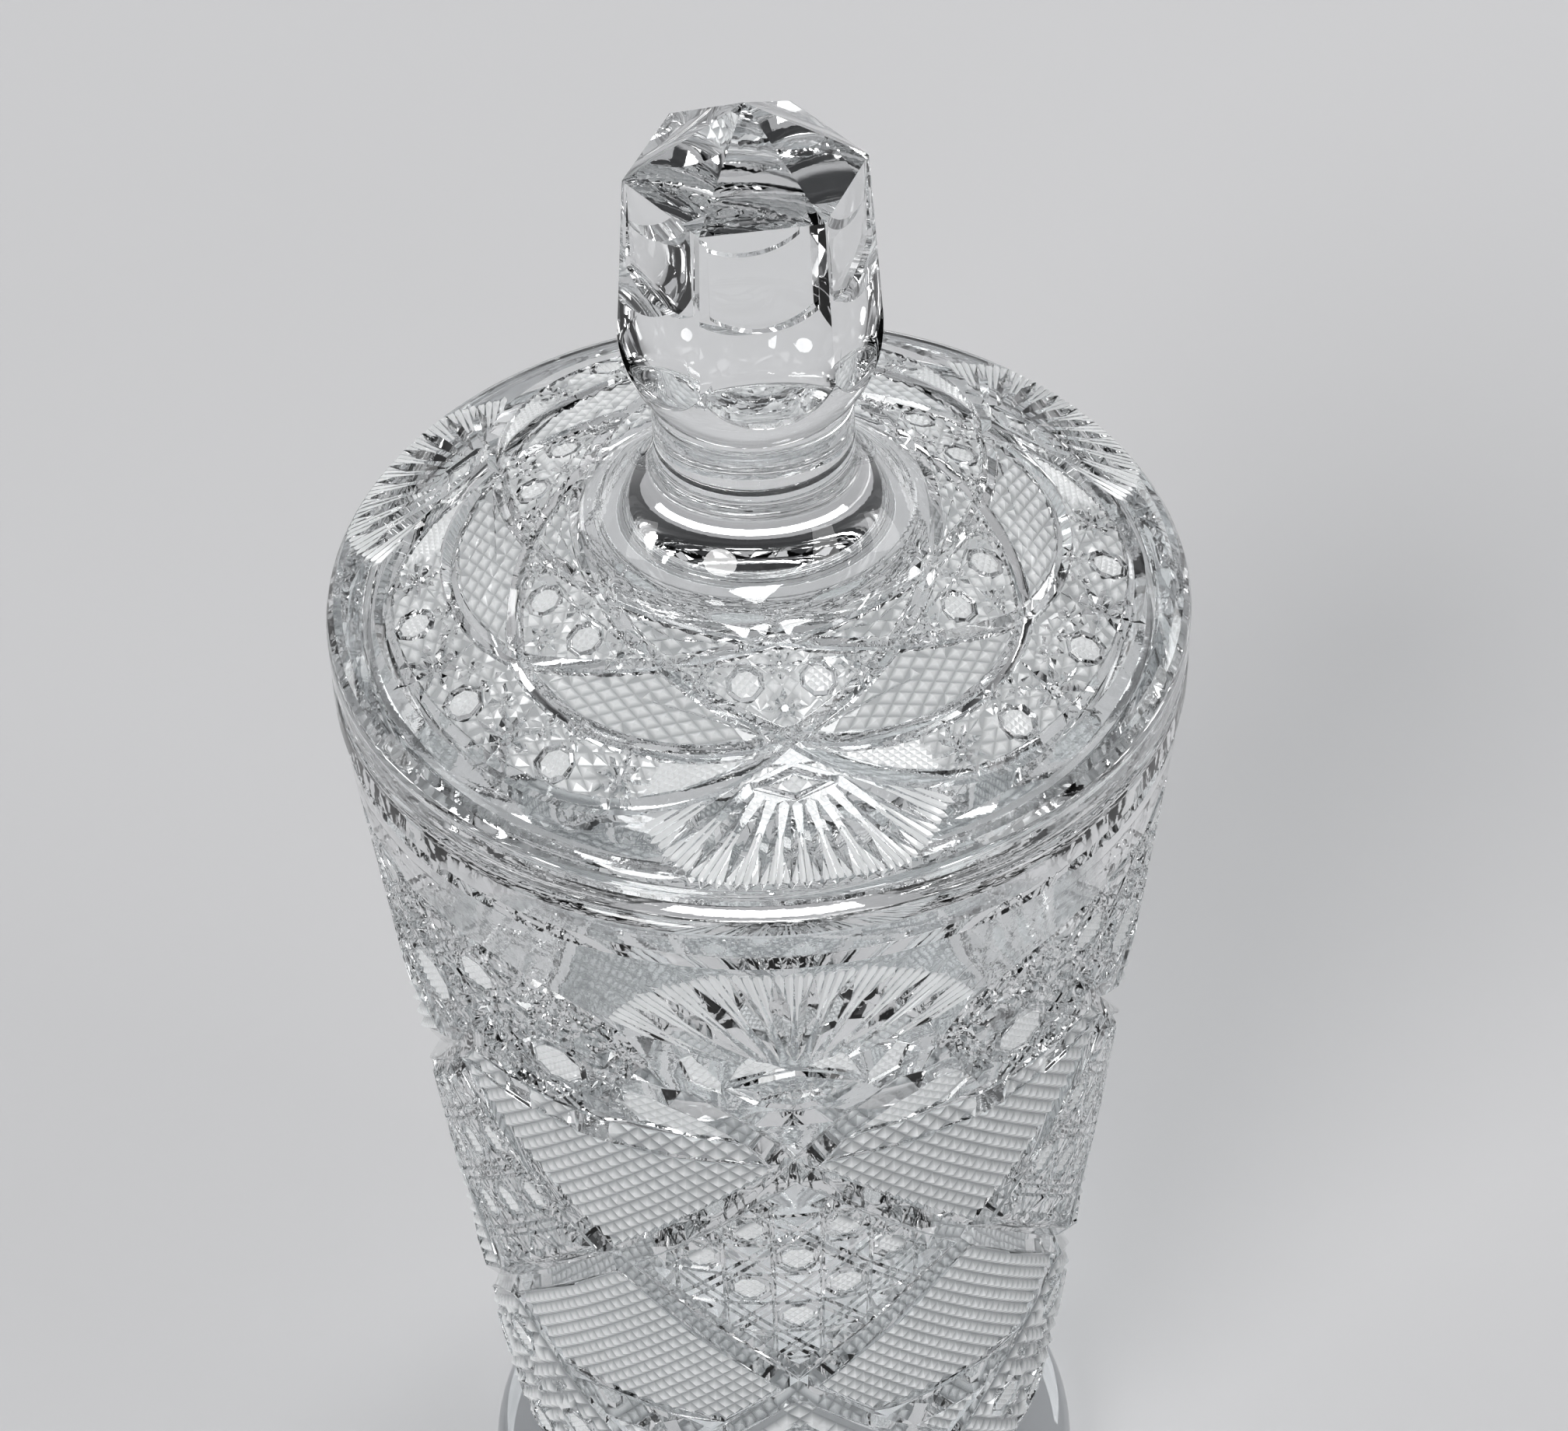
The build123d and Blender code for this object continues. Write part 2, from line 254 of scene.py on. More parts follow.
def arc(centre, radius, first, last, steps):
    """Points along an arc from one angle to another, both included."""
    return np.asarray(centre) + radius * on_circle(np.radians(np.linspace(first, last, steps + 1)))


def ring(centre, radius, sides, turn):
    """A closed outline with equal sides round a point."""
    return arc(centre, radius, turn, turn + 360, sides)[:-1]


def inside(points, loop):
    """True for each point that lies inside a closed outline."""
    x, y = points[:, :1], points[:, 1:]
    x0, y0 = loop.T
    x1, y1 = np.roll(loop, -1, axis=0).T
    spans = (y0 > y) != (y1 > y)
    with np.errstate(divide="ignore", invalid="ignore"):
        left = x < (x1 - x0) * (y - y0) / (y1 - y0) + x0
    return (spans & left).sum(axis=1) % 2 == 1


def within(points, outline, holes):
    """True for each point inside an outline and outside its holes."""
    keep = inside(points, outline)
    for hole in holes:
        keep &= ~inside(points, hole)
    return keep


def from_segment(points, start, end):
    """How far along a segment each point lies, as a share, and how far from it."""
    along = end - start
    share = np.clip((points - start) @ along / max(along @ along, NEAR**4), 0, 1)
    return share, np.linalg.norm(points - start - share[:, None] * along, axis=1)


def reached(points, loop):
    """The numbers of the points inside a closed outline or on its edge."""
    near = inside(points, loop)
    for start, end in zip(loop, np.roll(loop, -1, axis=0)):
        near |= from_segment(points, start, end)[1] < NEAR
    return np.flatnonzero(near)


def clip(path, outline, holes=()):
    """The stretches of a path that lie inside an outline and outside its holes."""
    loops = [outline, *holes]
    starts = np.concatenate(loops)
    edges = np.concatenate([np.roll(loop, -1, axis=0) - loop for loop in loops])
    kept, run = [], []
    for start, end in zip(path[:-1], path[1:]):
        step = end - start
        lead = starts - start
        with np.errstate(divide="ignore", invalid="ignore"):
            share = cross(lead, edges) / cross(step, edges)
            place = cross(lead, step) / cross(step, edges)
        hits = share[(share > 0) & (share < 1) & (place >= 0) & (place <= 1)]
        marks = np.concatenate([[0], np.sort(hits), [1]])
        middles = start + step * ((marks[:-1] + marks[1:]) / 2)[:, None]
        for low, high, good in zip(marks[:-1], marks[1:], within(middles, outline, holes)):
            if good:
                if not run:
                    run = [start + step * low]
                run.append(start + step * high)
            elif run:
                kept.append(np.array(run))
                run = []
    if run:
        kept.append(np.array(run))
    return kept


def inset(outline, distances):
    """A closed outline drawn in by a distance, or by one distance for each of its edges."""
    loop = as_points(outline)
    distances = np.broadcast_to(distances, len(loop))
    if cross(loop, np.roll(loop, -1, axis=0)).sum() < 0:
        loop = loop[::-1]
        distances = np.roll(distances[::-1], -1)
    normals = left_of(unit(np.roll(loop, -1, axis=0) - loop))
    moved = []
    for here, point in enumerate(loop):
        pair, shift = normals[[here - 1, here]], distances[[here - 1, here]]
        if abs(np.linalg.det(pair)) < NEAR:
            moved.append(point + pair.mean(axis=0) * shift.mean())
        else:
            moved.append(np.linalg.solve(pair, pair @ point + shift))
    return np.array(moved)


def sideways(path, closed):
    """Unit vectors across a path at each of its points."""
    if closed:
        return left_of(unit(np.roll(path, -1, axis=0) - np.roll(path, 1, axis=0)))
    return left_of(unit(np.gradient(path, axis=0)))


class CutSheet:
    """The cuts of half a repeat, laid flat: lines for the mesh to follow and the depth at any point."""

    def __init__(self):
        self.paths = []
        self.spots = []
        self.vees = []
        self.fields = []
        self.facets = []

    def loop(self, outline):
        self.paths.append(np.vstack([outline, outline[:1]]))

    def vee(self, path, width, depth, closed=False, matt=False):
        """A V-shaped cut along a path, with one width and depth or one at each point."""
        path = as_points(path)
        half = np.broadcast_to(np.asarray(width, float) / 2, len(path))
        deep = np.broadcast_to(np.asarray(depth, float), len(path))
        across = sideways(path, closed)
        order = np.arange(len(path))
        if closed:
            order = np.append(order, 0)
        for shift in (-1, 0, 1):
            self.paths.append((path + shift * across * half[:, None])[order])
        for a, b in zip(order[:-1], order[1:]):
            self.vees.append((path[a], path[b], half[a], half[b], deep[a], deep[b], matt))

    def field(self, outline, turns, pitch, depth, holes=(), origin=(0, 0), matt=True):
        """Small pyramids left standing between two sets of crossed V cuts."""
        outline = as_points(outline)
        limit = inset(outline, FIELD_EDGE)
        origin = np.asarray(origin, float)
        ways = on_circle(np.radians(turns))
        normals = left_of(ways)
        self.loop(outline)
        self.loop(limit)
        spans = []
        for along, normal in zip(ways, normals):
            rows = (limit - origin) @ normal / pitch
            reach = (limit - origin) @ along
            spans.append((floor(rows.min()), ceil(rows.max())))
            for row in range(ceil(rows.min()), floor(rows.max()) + 1):
                foot = origin + normal * row * pitch
                line = np.array([foot + along * reach.min(), foot + along * reach.max()])
                self.paths += clip(line, limit, holes)
        rows, columns = ((np.arange(low, high) + 0.5) * pitch for low, high in spans)
        grid = np.stack(np.meshgrid(rows, columns), axis=-1).reshape(-1, 2)
        tips = origin + np.linalg.solve(normals, grid.T).T
        self.spots += list(tips[within(tips, limit, holes)])
        self.fields.append((limit, holes, normals, pitch, origin, depth, matt))

    def facet(self, outline, hinge, depth):
        """A flat polished cut that starts at a hinge line and is deepest at the far side of its outline."""
        outline = as_points(outline)
        start, end = as_points(hinge)
        normal = left_of(unit(end - start))
        reach = (outline - start) @ normal
        far = reach[np.argmax(np.abs(reach))]
        self.loop(outline)
        self.facets.append((outline, start, normal * depth / far))

    def button(self, centre, radius, width, depth, hatch):
        """A flat hatched button, set off by a V cut all round, whose outer edge is returned."""
        rim = ring(centre, radius, *OCTAGON)
        self.vee(inset(rim, -width / 2), width, depth, closed=True)
        self.field(inset(rim, NEAR), (45, 135), *hatch, origin=centre)
        return inset(rim, -width)

    def star(self, centre, radius, width, depth, turn=0.0, rays=8):
        """V cuts that cross in a point and run out like a star."""
        for tip in ring(centre, radius, rays, turn):
            self.vee([centre, (centre + tip) / 2, tip], [width, width, 0.0], [depth, depth, 0.0])

    def cut_at(self, points):
        """How deep the glass is cut at each point, and whether the cut is a fine, matt one."""
        deepest = np.zeros(len(points))
        matt = np.zeros(len(points), bool)

        def cut(close, deep, hazy):
            matt[close] = np.where(deep > deepest[close], hazy, matt[close])
            deepest[close] = np.maximum(deepest[close], deep)

        for start, end, half_a, half_b, deep_a, deep_b, hazy in self.vees:
            reach = max(half_a, half_b) + NEAR
            low = np.minimum(start, end) - reach
            high = np.maximum(start, end) + reach
            close = np.flatnonzero(np.all((points >= low) & (points <= high), axis=1))
            share, gap = from_segment(points[close], start, end)
            half = np.maximum(half_a + (half_b - half_a) * share, NEAR)
            cut(close, (deep_a + (deep_b - deep_a) * share) * np.clip(1 - gap / half, 0, 1), hazy)
        for limit, holes, normals, pitch, origin, depth, hazy in self.fields:
            close = reached(points, limit)
            for hole in holes:
                close = close[~inside(points[close], hole)]
            rows = (points[close] - origin) @ normals.T / pitch
            cut(close, depth * (1 - 2 * np.abs(rows - np.round(rows))).max(axis=1), hazy)
        for outline, start, slope in self.facets:
            close = reached(points, outline)
            deepest[close] = np.maximum(deepest[close], (points[close] - start) @ slope)
        return deepest, matt

    def mesh(self, border, snap, side_of, plain_spots):
        """Flat triangles that follow every cut line within a border, their depths and which are matt."""
        room = inset(border, -NEAR / 2)
        coords = list(border)
        edges = [(here, (here + 1) % len(border)) for here in range(len(border))]
        for path in self.paths:
            for stretch in clip(path, room):
                first = len(coords)
                coords += list(snap(stretch))
                edges += [(first + here, first + here + 1) for here in range(len(stretch) - 1)]
        spots = as_points(self.spots)
        coords += list(snap(spots[inside(spots, room)]))
        plain = plain_spots[self.cut_at(plain_spots)[0] <= 0]
        coords += list(plain[inside(plain, inset(border, PLAIN_MARGIN))])
        found = delaunay_2d_cdt([Vector(point) for point in coords], edges, [], 0, NEAR, False)
        points = snap(np.array([tuple(point) for point in found[0]]))
        sides = side_of(points)
        faces = [face for face in found[2] if len(set(sides[face])) > 1 or not sides[face[0]]]
        middles = points[np.array(faces)].mean(axis=1)
        return points, self.cut_at(points)[0], faces, self.cut_at(middles)[1]


# Turned shapes and the half repeats that they are cut from


def rounded(corner, radius, first, last, steps):
    """Points along the round on a profile's corner, from one angle to another."""
    middle = radians((first + last) / 2)
    return arc(corner - radius * np.sign([cos(middle), sin(middle)]), radius, first, last, steps)


def tangent_arc(start, end, direction, steps):
    """Points along the arc that leaves a point in a direction and reaches another."""
    chord = np.subtract(end, start)
    along = unit(np.asarray(direction, float))
    normal = left_of(along)
    radius = chord @ chord / (2 * chord @ normal)
    centre = start + normal * radius
    first = np.arctan2(*(start - centre)[::-1])
    sweep = 2 * np.arctan2(chord @ normal, chord @ along)
    return centre + abs(radius) * on_circle(first + np.linspace(0, sweep, steps + 1))


def sagged(start, end, sag, steps):
    """Points along a shallow arc between two points, drawn by a sag to the left of its way."""
    chord = np.subtract(end, start)
    share = np.linspace(0, 1, steps + 1)[:, None]
    return start + chord * share + left_of(unit(chord)) * 4 * sag * share * (1 - share)


def chain(*stretches):
    """One profile from stretches that follow each other, with no point twice."""
    points = np.vstack([as_points(stretch) for stretch in stretches])
    fresh = np.append(True, np.linalg.norm(np.diff(points, axis=0), axis=1) > NEAR)
    return points[fresh]


def on_axis(turns, radius, level):
    """Points in metres, turned in degrees from the front, at a radius and a level in millimetres."""
    turns = np.radians(turns)
    return MM * np.stack([radius * np.sin(turns), -radius * np.cos(turns), level + 0 * turns], axis=-1)


class HalfRepeat:
    """Faces of a mirrored half of a repeat, gathered patch by patch."""

    def __init__(self):
        self.points = []
        self.faces = []
        self.bonded = []
        self.matt = []
        self.depths = []

    def add(self, points, faces, bonded=False, matt=None, depths=None):
        first = len(self.points)
        self.points += [tuple(point) for point in points]
        self.depths += [0.0] * len(points) if depths is None else list(depths)
        self.faces += [tuple(first + corner for corner in face) for face in faces]
        self.bonded += [bonded] * len(faces)
        self.matt += [False] * len(faces) if matt is None else list(matt)

    def turn_profile(self, profile, bonded=False):
        """A turned patch, from a profile of radius and level that runs with the glass on its left."""
        turns = np.linspace(0, HALF_REPEAT, AXIS_STEPS + 1)
        rows = np.array([on_axis(turns, radius, level) for radius, level in profile])
        wide = len(turns)
        faces = []
        for row in range(len(profile) - 1):
            for column in range(wide - 1):
                low, high = row * wide + column, (row + 1) * wide + column
                quad = [low, low + 1, high + 1, high]
                if profile[row][0] < NEAR:
                    quad = [low, high + 1, high]
                elif profile[row + 1][0] < NEAR:
                    quad = [low, low + 1, high]
                faces.append(quad)
        self.add(rows.reshape(-1, 3), faces, bonded)


# Node trees


def new_node(tree, kind, **values):
    """A node with its settings and the values of its inputs."""
    node = tree.nodes.new(kind)
    for name, value in values.items():
        if name in node.inputs:
            node.inputs[name].default_value = value
        else:
            setattr(node, name, value)
    return node


def wire(tree, *links):
    """Links nodes: each link names a node, its output, the next node and its input."""
    for source, output, target, entry in links:
        tree.links.new(source.outputs[output], target.inputs[entry])


def new_group(name, kind, inputs, outputs):
    """A node group with its sockets, and the two nodes that stand for them inside it."""
    group = bpy.data.node_groups.new(name, kind)
    for way, sockets in (("INPUT", inputs), ("OUTPUT", outputs)):
        for socket, sort in sockets.items():
            group.interface.new_socket(socket, in_out=way, socket_type="NodeSocket" + sort)
    return group, new_node(group, "NodeGroupInput"), new_node(group, "NodeGroupOutput")


def repeat_tree():
    """Geometry nodes that mirror half a repeat, set it round the axis and weld it into one glass."""
    name = "Repeat round the axis"
    if name in bpy.data.node_groups:
        return bpy.data.node_groups[name]
    inputs = {"Geometry": "Geometry", "Copies": "Int", "Turn": "Float", "Weld": "Float"}
    inputs.update({"Crystal": "Material", "Matt": "Material", "Joint": "Material"})
    tree, given, result = new_group(name, "GeometryNodeTree", inputs, {"Geometry": "Geometry"})
    mirror = new_node(tree, "GeometryNodeTransform", Scale=(-1, 1, 1))
    flip = new_node(tree, "GeometryNodeFlipFaces")
    whole = new_node(tree, "GeometryNodeJoinGeometry")
    places = new_node(tree, "GeometryNodePoints")
    copies = new_node(tree, "GeometryNodeInstanceOnPoints")
    index = new_node(tree, "GeometryNodeInputIndex")
    step = new_node(tree, "ShaderNodeMath", operation="DIVIDE", Value=2 * pi)
    turn = new_node(tree, "ShaderNodeMath", operation="MULTIPLY_ADD")
    euler = new_node(tree, "ShaderNodeCombineXYZ")
    rotation = new_node(tree, "FunctionNodeEulerToRotation")
    realize = new_node(tree, "GeometryNodeRealizeInstances")
    last = new_node(tree, "GeometryNodeMergeByDistance")
    wire(
        tree,
        (given, "Geometry", mirror, "Geometry"),
        (mirror, "Geometry", flip, "Mesh"),
        (given, "Geometry", whole, "Geometry"),
        (flip, "Mesh", whole, "Geometry"),
        (given, "Copies", places, "Count"),
        (places, 0, copies, "Points"),
        (whole, "Geometry", copies, "Instance"),
        (given, "Copies", step, 1),
        (index, "Index", turn, 0),
        (step, "Value", turn, 1),
        (given, "Turn", turn, 2),
        (turn, "Value", euler, "Z"),
        (euler, "Vector", rotation, "Euler"),
        (rotation, "Rotation", copies, "Rotation"),
        (copies, "Instances", realize, "Geometry"),
        (realize, "Geometry", last, "Geometry"),
        (given, "Weld", last, "Distance"),
    )
    for material, attribute in (("Crystal", None), ("Matt", "matt"), ("Joint", "joint")):
        dressed = new_node(tree, "GeometryNodeSetMaterial")
        wire(tree, (last, "Geometry", dressed, "Geometry"), (given, material, dressed, "Material"))
        if attribute:
            chosen = new_node(tree, "GeometryNodeInputNamedAttribute", data_type="BOOLEAN", Name=attribute)
            wire(tree, (chosen, "Attribute", dressed, "Selection"))
        last = dressed
    wire(tree, (last, "Geometry", result, "Geometry"))
    return tree


def sharpen_flats(mesh):
    """Gives every large flat facet a crisp border, however small its angle to the glass beside it."""
    shape = bmesh.new()
    shape.from_mesh(mesh)
    directions = [tuple(round(value, 3) for value in face.normal) for face in shape.faces]
    area = {}
    for face, direction in zip(shape.faces, directions):
        area[direction] = area.get(direction, 0.0) + face.calc_area()
    for edge in shape.edges:
        sides = {directions[face.index] for face in edge.link_faces}
        if len(sides) > 1 and max(area[side] for side in sides) > FLAT_AREA:
            edge.smooth = False
    shape.to_mesh(mesh)
    shape.free()


def finish_glass(name, mesh, smooth_angle):
    """A glass piece from a closed mesh, smooth where it is round and sharp where it is cut."""
    mesh.name = name
    shape = bmesh.new()
    shape.from_mesh(mesh)
    open_edges = sum(not edge.is_manifold for edge in shape.edges)
    shape.free()
    if open_edges:
        raise RuntimeError(f"{name} has {open_edges} open edges")
    mesh.shade_smooth()
    mesh.set_sharp_from_angle(angle=radians(smooth_angle))
    piece = bpy.data.objects.new(name, mesh)
    bpy.context.scene.collection.objects.link(piece)
    return piece


def whole_glass(name, half, turn, crystal, matt, smooth_angle):
    """A whole glass piece from the half repeat that makes it up."""
    flat = bpy.data.meshes.new(name + "_half")
    flat.from_pydata(half.points, [], half.faces)
    for attribute, kind, domain, values in (
        ("joint", "BOOLEAN", "FACE", half.bonded),
        ("matt", "BOOLEAN", "FACE", half.matt),
        ("cut_depth", "FLOAT", "POINT", half.depths),
    ):
        flat.attributes.new(attribute, kind, domain).data.foreach_set("value", values)
    maker = bpy.data.objects.new(name + "_maker", flat)
    bpy.context.scene.collection.objects.link(maker)
    modifier = maker.modifiers.new("Repeat", "NODES")
    modifier.node_group = repeat_tree()
    values = {"Copies": REPEATS, "Turn": turn, "Weld": WELD}
    values.update({"Crystal": crystal, "Matt": matt, "Joint": joint_material()})
    for item in modifier.node_group.interface.items_tree:
        if item.in_out == "INPUT" and item.name in values:
            modifier[item.identifier] = values[item.name]
    evaluated = maker.evaluated_get(bpy.context.evaluated_depsgraph_get())
    mesh = bpy.data.meshes.new_from_object(evaluated)
    bpy.data.objects.remove(maker)
    bpy.data.meshes.remove(flat)
    return finish_glass(name, mesh, smooth_angle)


# Cane work of the jar, and the fans that jar and lid share
# Buttons are given by their radius and their ring's width and depth, stars by their reach, width and depth

CANE_RISE = 1.04
CANE_SLANT = 46.1
CANE_PAIR = (-1.15, 1.15)
CANE_ROWS = 9
CANE_REACH = 90.0
FAN_RAYS = 5
RAY_MARKS = (0.0, 0.3, 0.6, 1.0)
RAY_WIDTHS = np.array([0.15, 0.75, 1.0, 0.0])
RAY_DEPTHS = np.array([0.2, 0.8, 1.0, 0.0])
FRINGE_PLACES = (-0.36, -0.12, 0.12, 0.36)
FRINGE_START = 0.3
FRINGE_PEAK = 0.95
FRINGE_ROOM = 0.22
FRINGE_WIDTHS = np.array([0.5, 1.0, 0.7])
FRINGE_DEPTHS = (0.1, 0.5, 0.1)


def cane_lines(sheet, cuts, origin, cell, outline, holes):
    """Thin cuts that cross in four directions between the buttons of cane work."""
    slant = sqrt(2) * cell
    for turn, spacing, offsets in (
        (0, cell * CANE_RISE, (0,)),
        (90, cell, (0,)),
        (CANE_SLANT, slant, CANE_PAIR),
        (-CANE_SLANT, slant, CANE_PAIR),
    ):
        along = on_circle(radians(turn))
        for row in range(-CANE_ROWS, CANE_ROWS + 1):
            for offset in offsets:
                foot = origin + left_of(along) * ((row + 0.5) * spacing + offset)
                line = np.array([foot - along * CANE_REACH, foot + along * CANE_REACH])
                for stretch in clip(line, outline, holes):
                    sheet.vee(stretch, cuts.cane_width, cuts.cane_depth)


def fan_cuts(sheet, hub, ahead, step, start, reach_at, widest, depth):
    """A fan: clear leaf-shaped rays that spread from a hub, and fringes of matt lines between their tips."""

    def run(way, shares):
        out = start + (reach_at(way) - start) * np.array(shares)
        return out, hub + out[:, None] * (sin(way), ahead * cos(way))

    for ray in range(FAN_RAYS):
        path = run(radians(step * (ray + 0.5)), RAY_MARKS)[1]
        sheet.vee(path, widest * RAY_WIDTHS, depth * RAY_DEPTHS)
    # Each fringe has four lines that side by side fill the room between two rays' tips
    for fringe in range(FAN_RAYS + 1):
        for place in FRINGE_PLACES:
            way = radians(step * (fringe + place))
            if way > 0:
                out, path = run(way, (FRINGE_START + abs(place), FRINGE_PEAK, 1.0))
                sheet.vee(path, FRINGE_ROOM * radians(step) * out * FRINGE_WIDTHS, FRINGE_DEPTHS, matt=True)


# The jar's cuts, unrolled: degrees from the front and levels in millimetres

JAR_DEGREE = 1.309
CROSS_LEVEL = 202.0
FOOT_LEVEL = 121.0
SIDE_LEVEL = (CROSS_LEVEL + FOOT_LEVEL) / 2
QUARTER = HALF_REPEAT / 2
MITRE_FALL = (CROSS_LEVEL - FOOT_LEVEL) / HALF_REPEAT
MITRE_SHOULDER = 0.2
LOW_CROSS_LEVEL = FOOT_LEVEL - QUARTER * MITRE_FALL
HEEL_LEVEL = 53.5
HEEL_CUT = (3.4, 1.4)
HEEL_MARGIN = 2.0
HEEL_OVERRUN = 2
LEAF = [(0, CROSS_LEVEL), (4.0, 209.5), (8.0, 215.5), (12.5, 220.6), (16.0, 224.2), (18.6, 226.8)]
LEAF_WIDTHS = (6.6, 7.4, 7.6, 0.0)
SIDE_LEAF = [(HALF_REPEAT, CROSS_LEVEL), (56.0, 209.5), (52.0, 215.0), (47.5, 219.5)]
SIDE_LEAF_WIDTHS = (6.0, 0.0)
HOBNAIL_TURNS = (45.9, -45.9)
HOBNAIL_TOP = 203.0
HOBNAIL_BASE = 107.0
SHELF_LEVEL = 95.0
BAR_LEVEL = 101.0
BAR_OVERRUN = 1
BAR_TAPER = 6
BAR_WIDTHS = (3.0, 11.0, 11.0, 3.0)
BAR_DEPTHS = (1.0, 2.4, 2.4, 1.0)
RHOMB_BORDER = 3.6
RHOMB_POINTS = (3.6, 1.3)
RHOMB_CELL = 10.1
RHOMB_FIRST_ROW = 128.5
RHOMB_BUTTON = (3.8, 1.2, 0.75)
BUTTON_MARGIN = 2.4
BUTTON_ROW = range(-4, 5)
TOP_FACET_DROP = 9.0
TOP_FACET_CORNER = np.array([7.0, -7.21])
TOP_FACET_DEPTH = 1.5
TOP_FACET_CLEAR = 4.0
LOW_BUTTON = (4.6, 1.6, 1.0)
LOW_BUTTONS = ((0.0, 100.0), (-14.0, 81.0), (14.0, 81.0), (0.0, 66.0))
LOW_STAR = (6.5, 2.2, 1.3)
LOW_STARS = ((-9.0, 91.0), (9.0, 91.0), (0.0, 82.5), (-9.0, 71.0), (9.0, 71.0))
LOW_POINTS = (4.2, 1.3)


def unroll(points):
    """Degrees and levels on the jar's wall, as flat places in millimetres."""
    return as_points(points) * (JAR_DEGREE, 1.0)


def spot(turn, level):
    """One flat place on the jar's wall."""
    return unroll([(turn, level)])[0]


def fallen(level):
    """How far a falling mitre has gone round, in degrees, from its foot down to a level."""
    return (FOOT_LEVEL - level) / MITRE_FALL


def hatch_of(cuts):
    return cuts.fine_pitch, cuts.fine_depth


def rhomb_cuts(sheet, cuts, centre, shoulder):
    """A rhomb of cane work: thin crossed cuts, hatched buttons, a border of points and two top facets."""
    left, right = (centre - QUARTER, SIDE_LEVEL), (centre + QUARTER, SIDE_LEVEL)
    rhomb = unroll([(centre, CROSS_LEVEL), left, (centre, FOOT_LEVEL), right])
    limit = inset(rhomb, shoulder)
    core = inset(rhomb, shoulder + RHOMB_BORDER)
    sheet.loop(core)
    top = limit[np.argmax(limit[:, 1])]
    drop = top - (0, TOP_FACET_DROP)
    corners = [top + TOP_FACET_CORNER * (side, 1) for side in (-1, 1)]
    for corner in corners:
        sheet.facet([top, corner, drop], [drop, top], TOP_FACET_DEPTH)
    origin = spot(centre, RHOMB_FIRST_ROW)
    rise = RHOMB_CELL * CANE_RISE
    room = inset(rhomb, shoulder + BUTTON_MARGIN)
    buttons = []
    for row in range(ceil((CROSS_LEVEL - RHOMB_FIRST_ROW) / rise)):
        for place in BUTTON_ROW:
            here = origin + ((2 * place + row % 2) * RHOMB_CELL, row * rise)
            if inside(here[None], room)[0] and here[1] < drop[1] - TOP_FACET_CLEAR:
                buttons.append(sheet.button(here, *RHOMB_BUTTON, hatch_of(cuts)))
    crown = np.array([top, corners[0], drop, corners[1]])
    cane_lines(sheet, cuts, origin, RHOMB_CELL, core, [*buttons, crown])
    sheet.field(limit, (CANE_SLANT, -CANE_SLANT), *RHOMB_POINTS, [core, crown], matt=False)


def lowest_cane(sheet, cuts, centre, shoulder):
    """The lowest field under a crossing, with four hatched buttons and stars among bold points."""
    foot = HALF_REPEAT - fallen(HEEL_LEVEL)
    outline = [
        (centre, FOOT_LEVEL),
        (centre - QUARTER, LOW_CROSS_LEVEL),
        (centre - foot, HEEL_LEVEL),
        (centre + foot, HEEL_LEVEL),
        (centre + QUARTER, LOW_CROSS_LEVEL),
    ]
    outline = inset(unroll(outline), [shoulder, shoulder, HEEL_MARGIN, shoulder, shoulder])
    places = [spot(centre + turn, level) for turn, level in LOW_BUTTONS]
    holes = [sheet.button(place, *LOW_BUTTON, hatch_of(cuts)) for place in places]
    for turn, level in LOW_STARS:
        sheet.star(spot(centre + turn, level), *LOW_STAR)
    sheet.field(outline, (45, -45), *LOW_POINTS, holes)


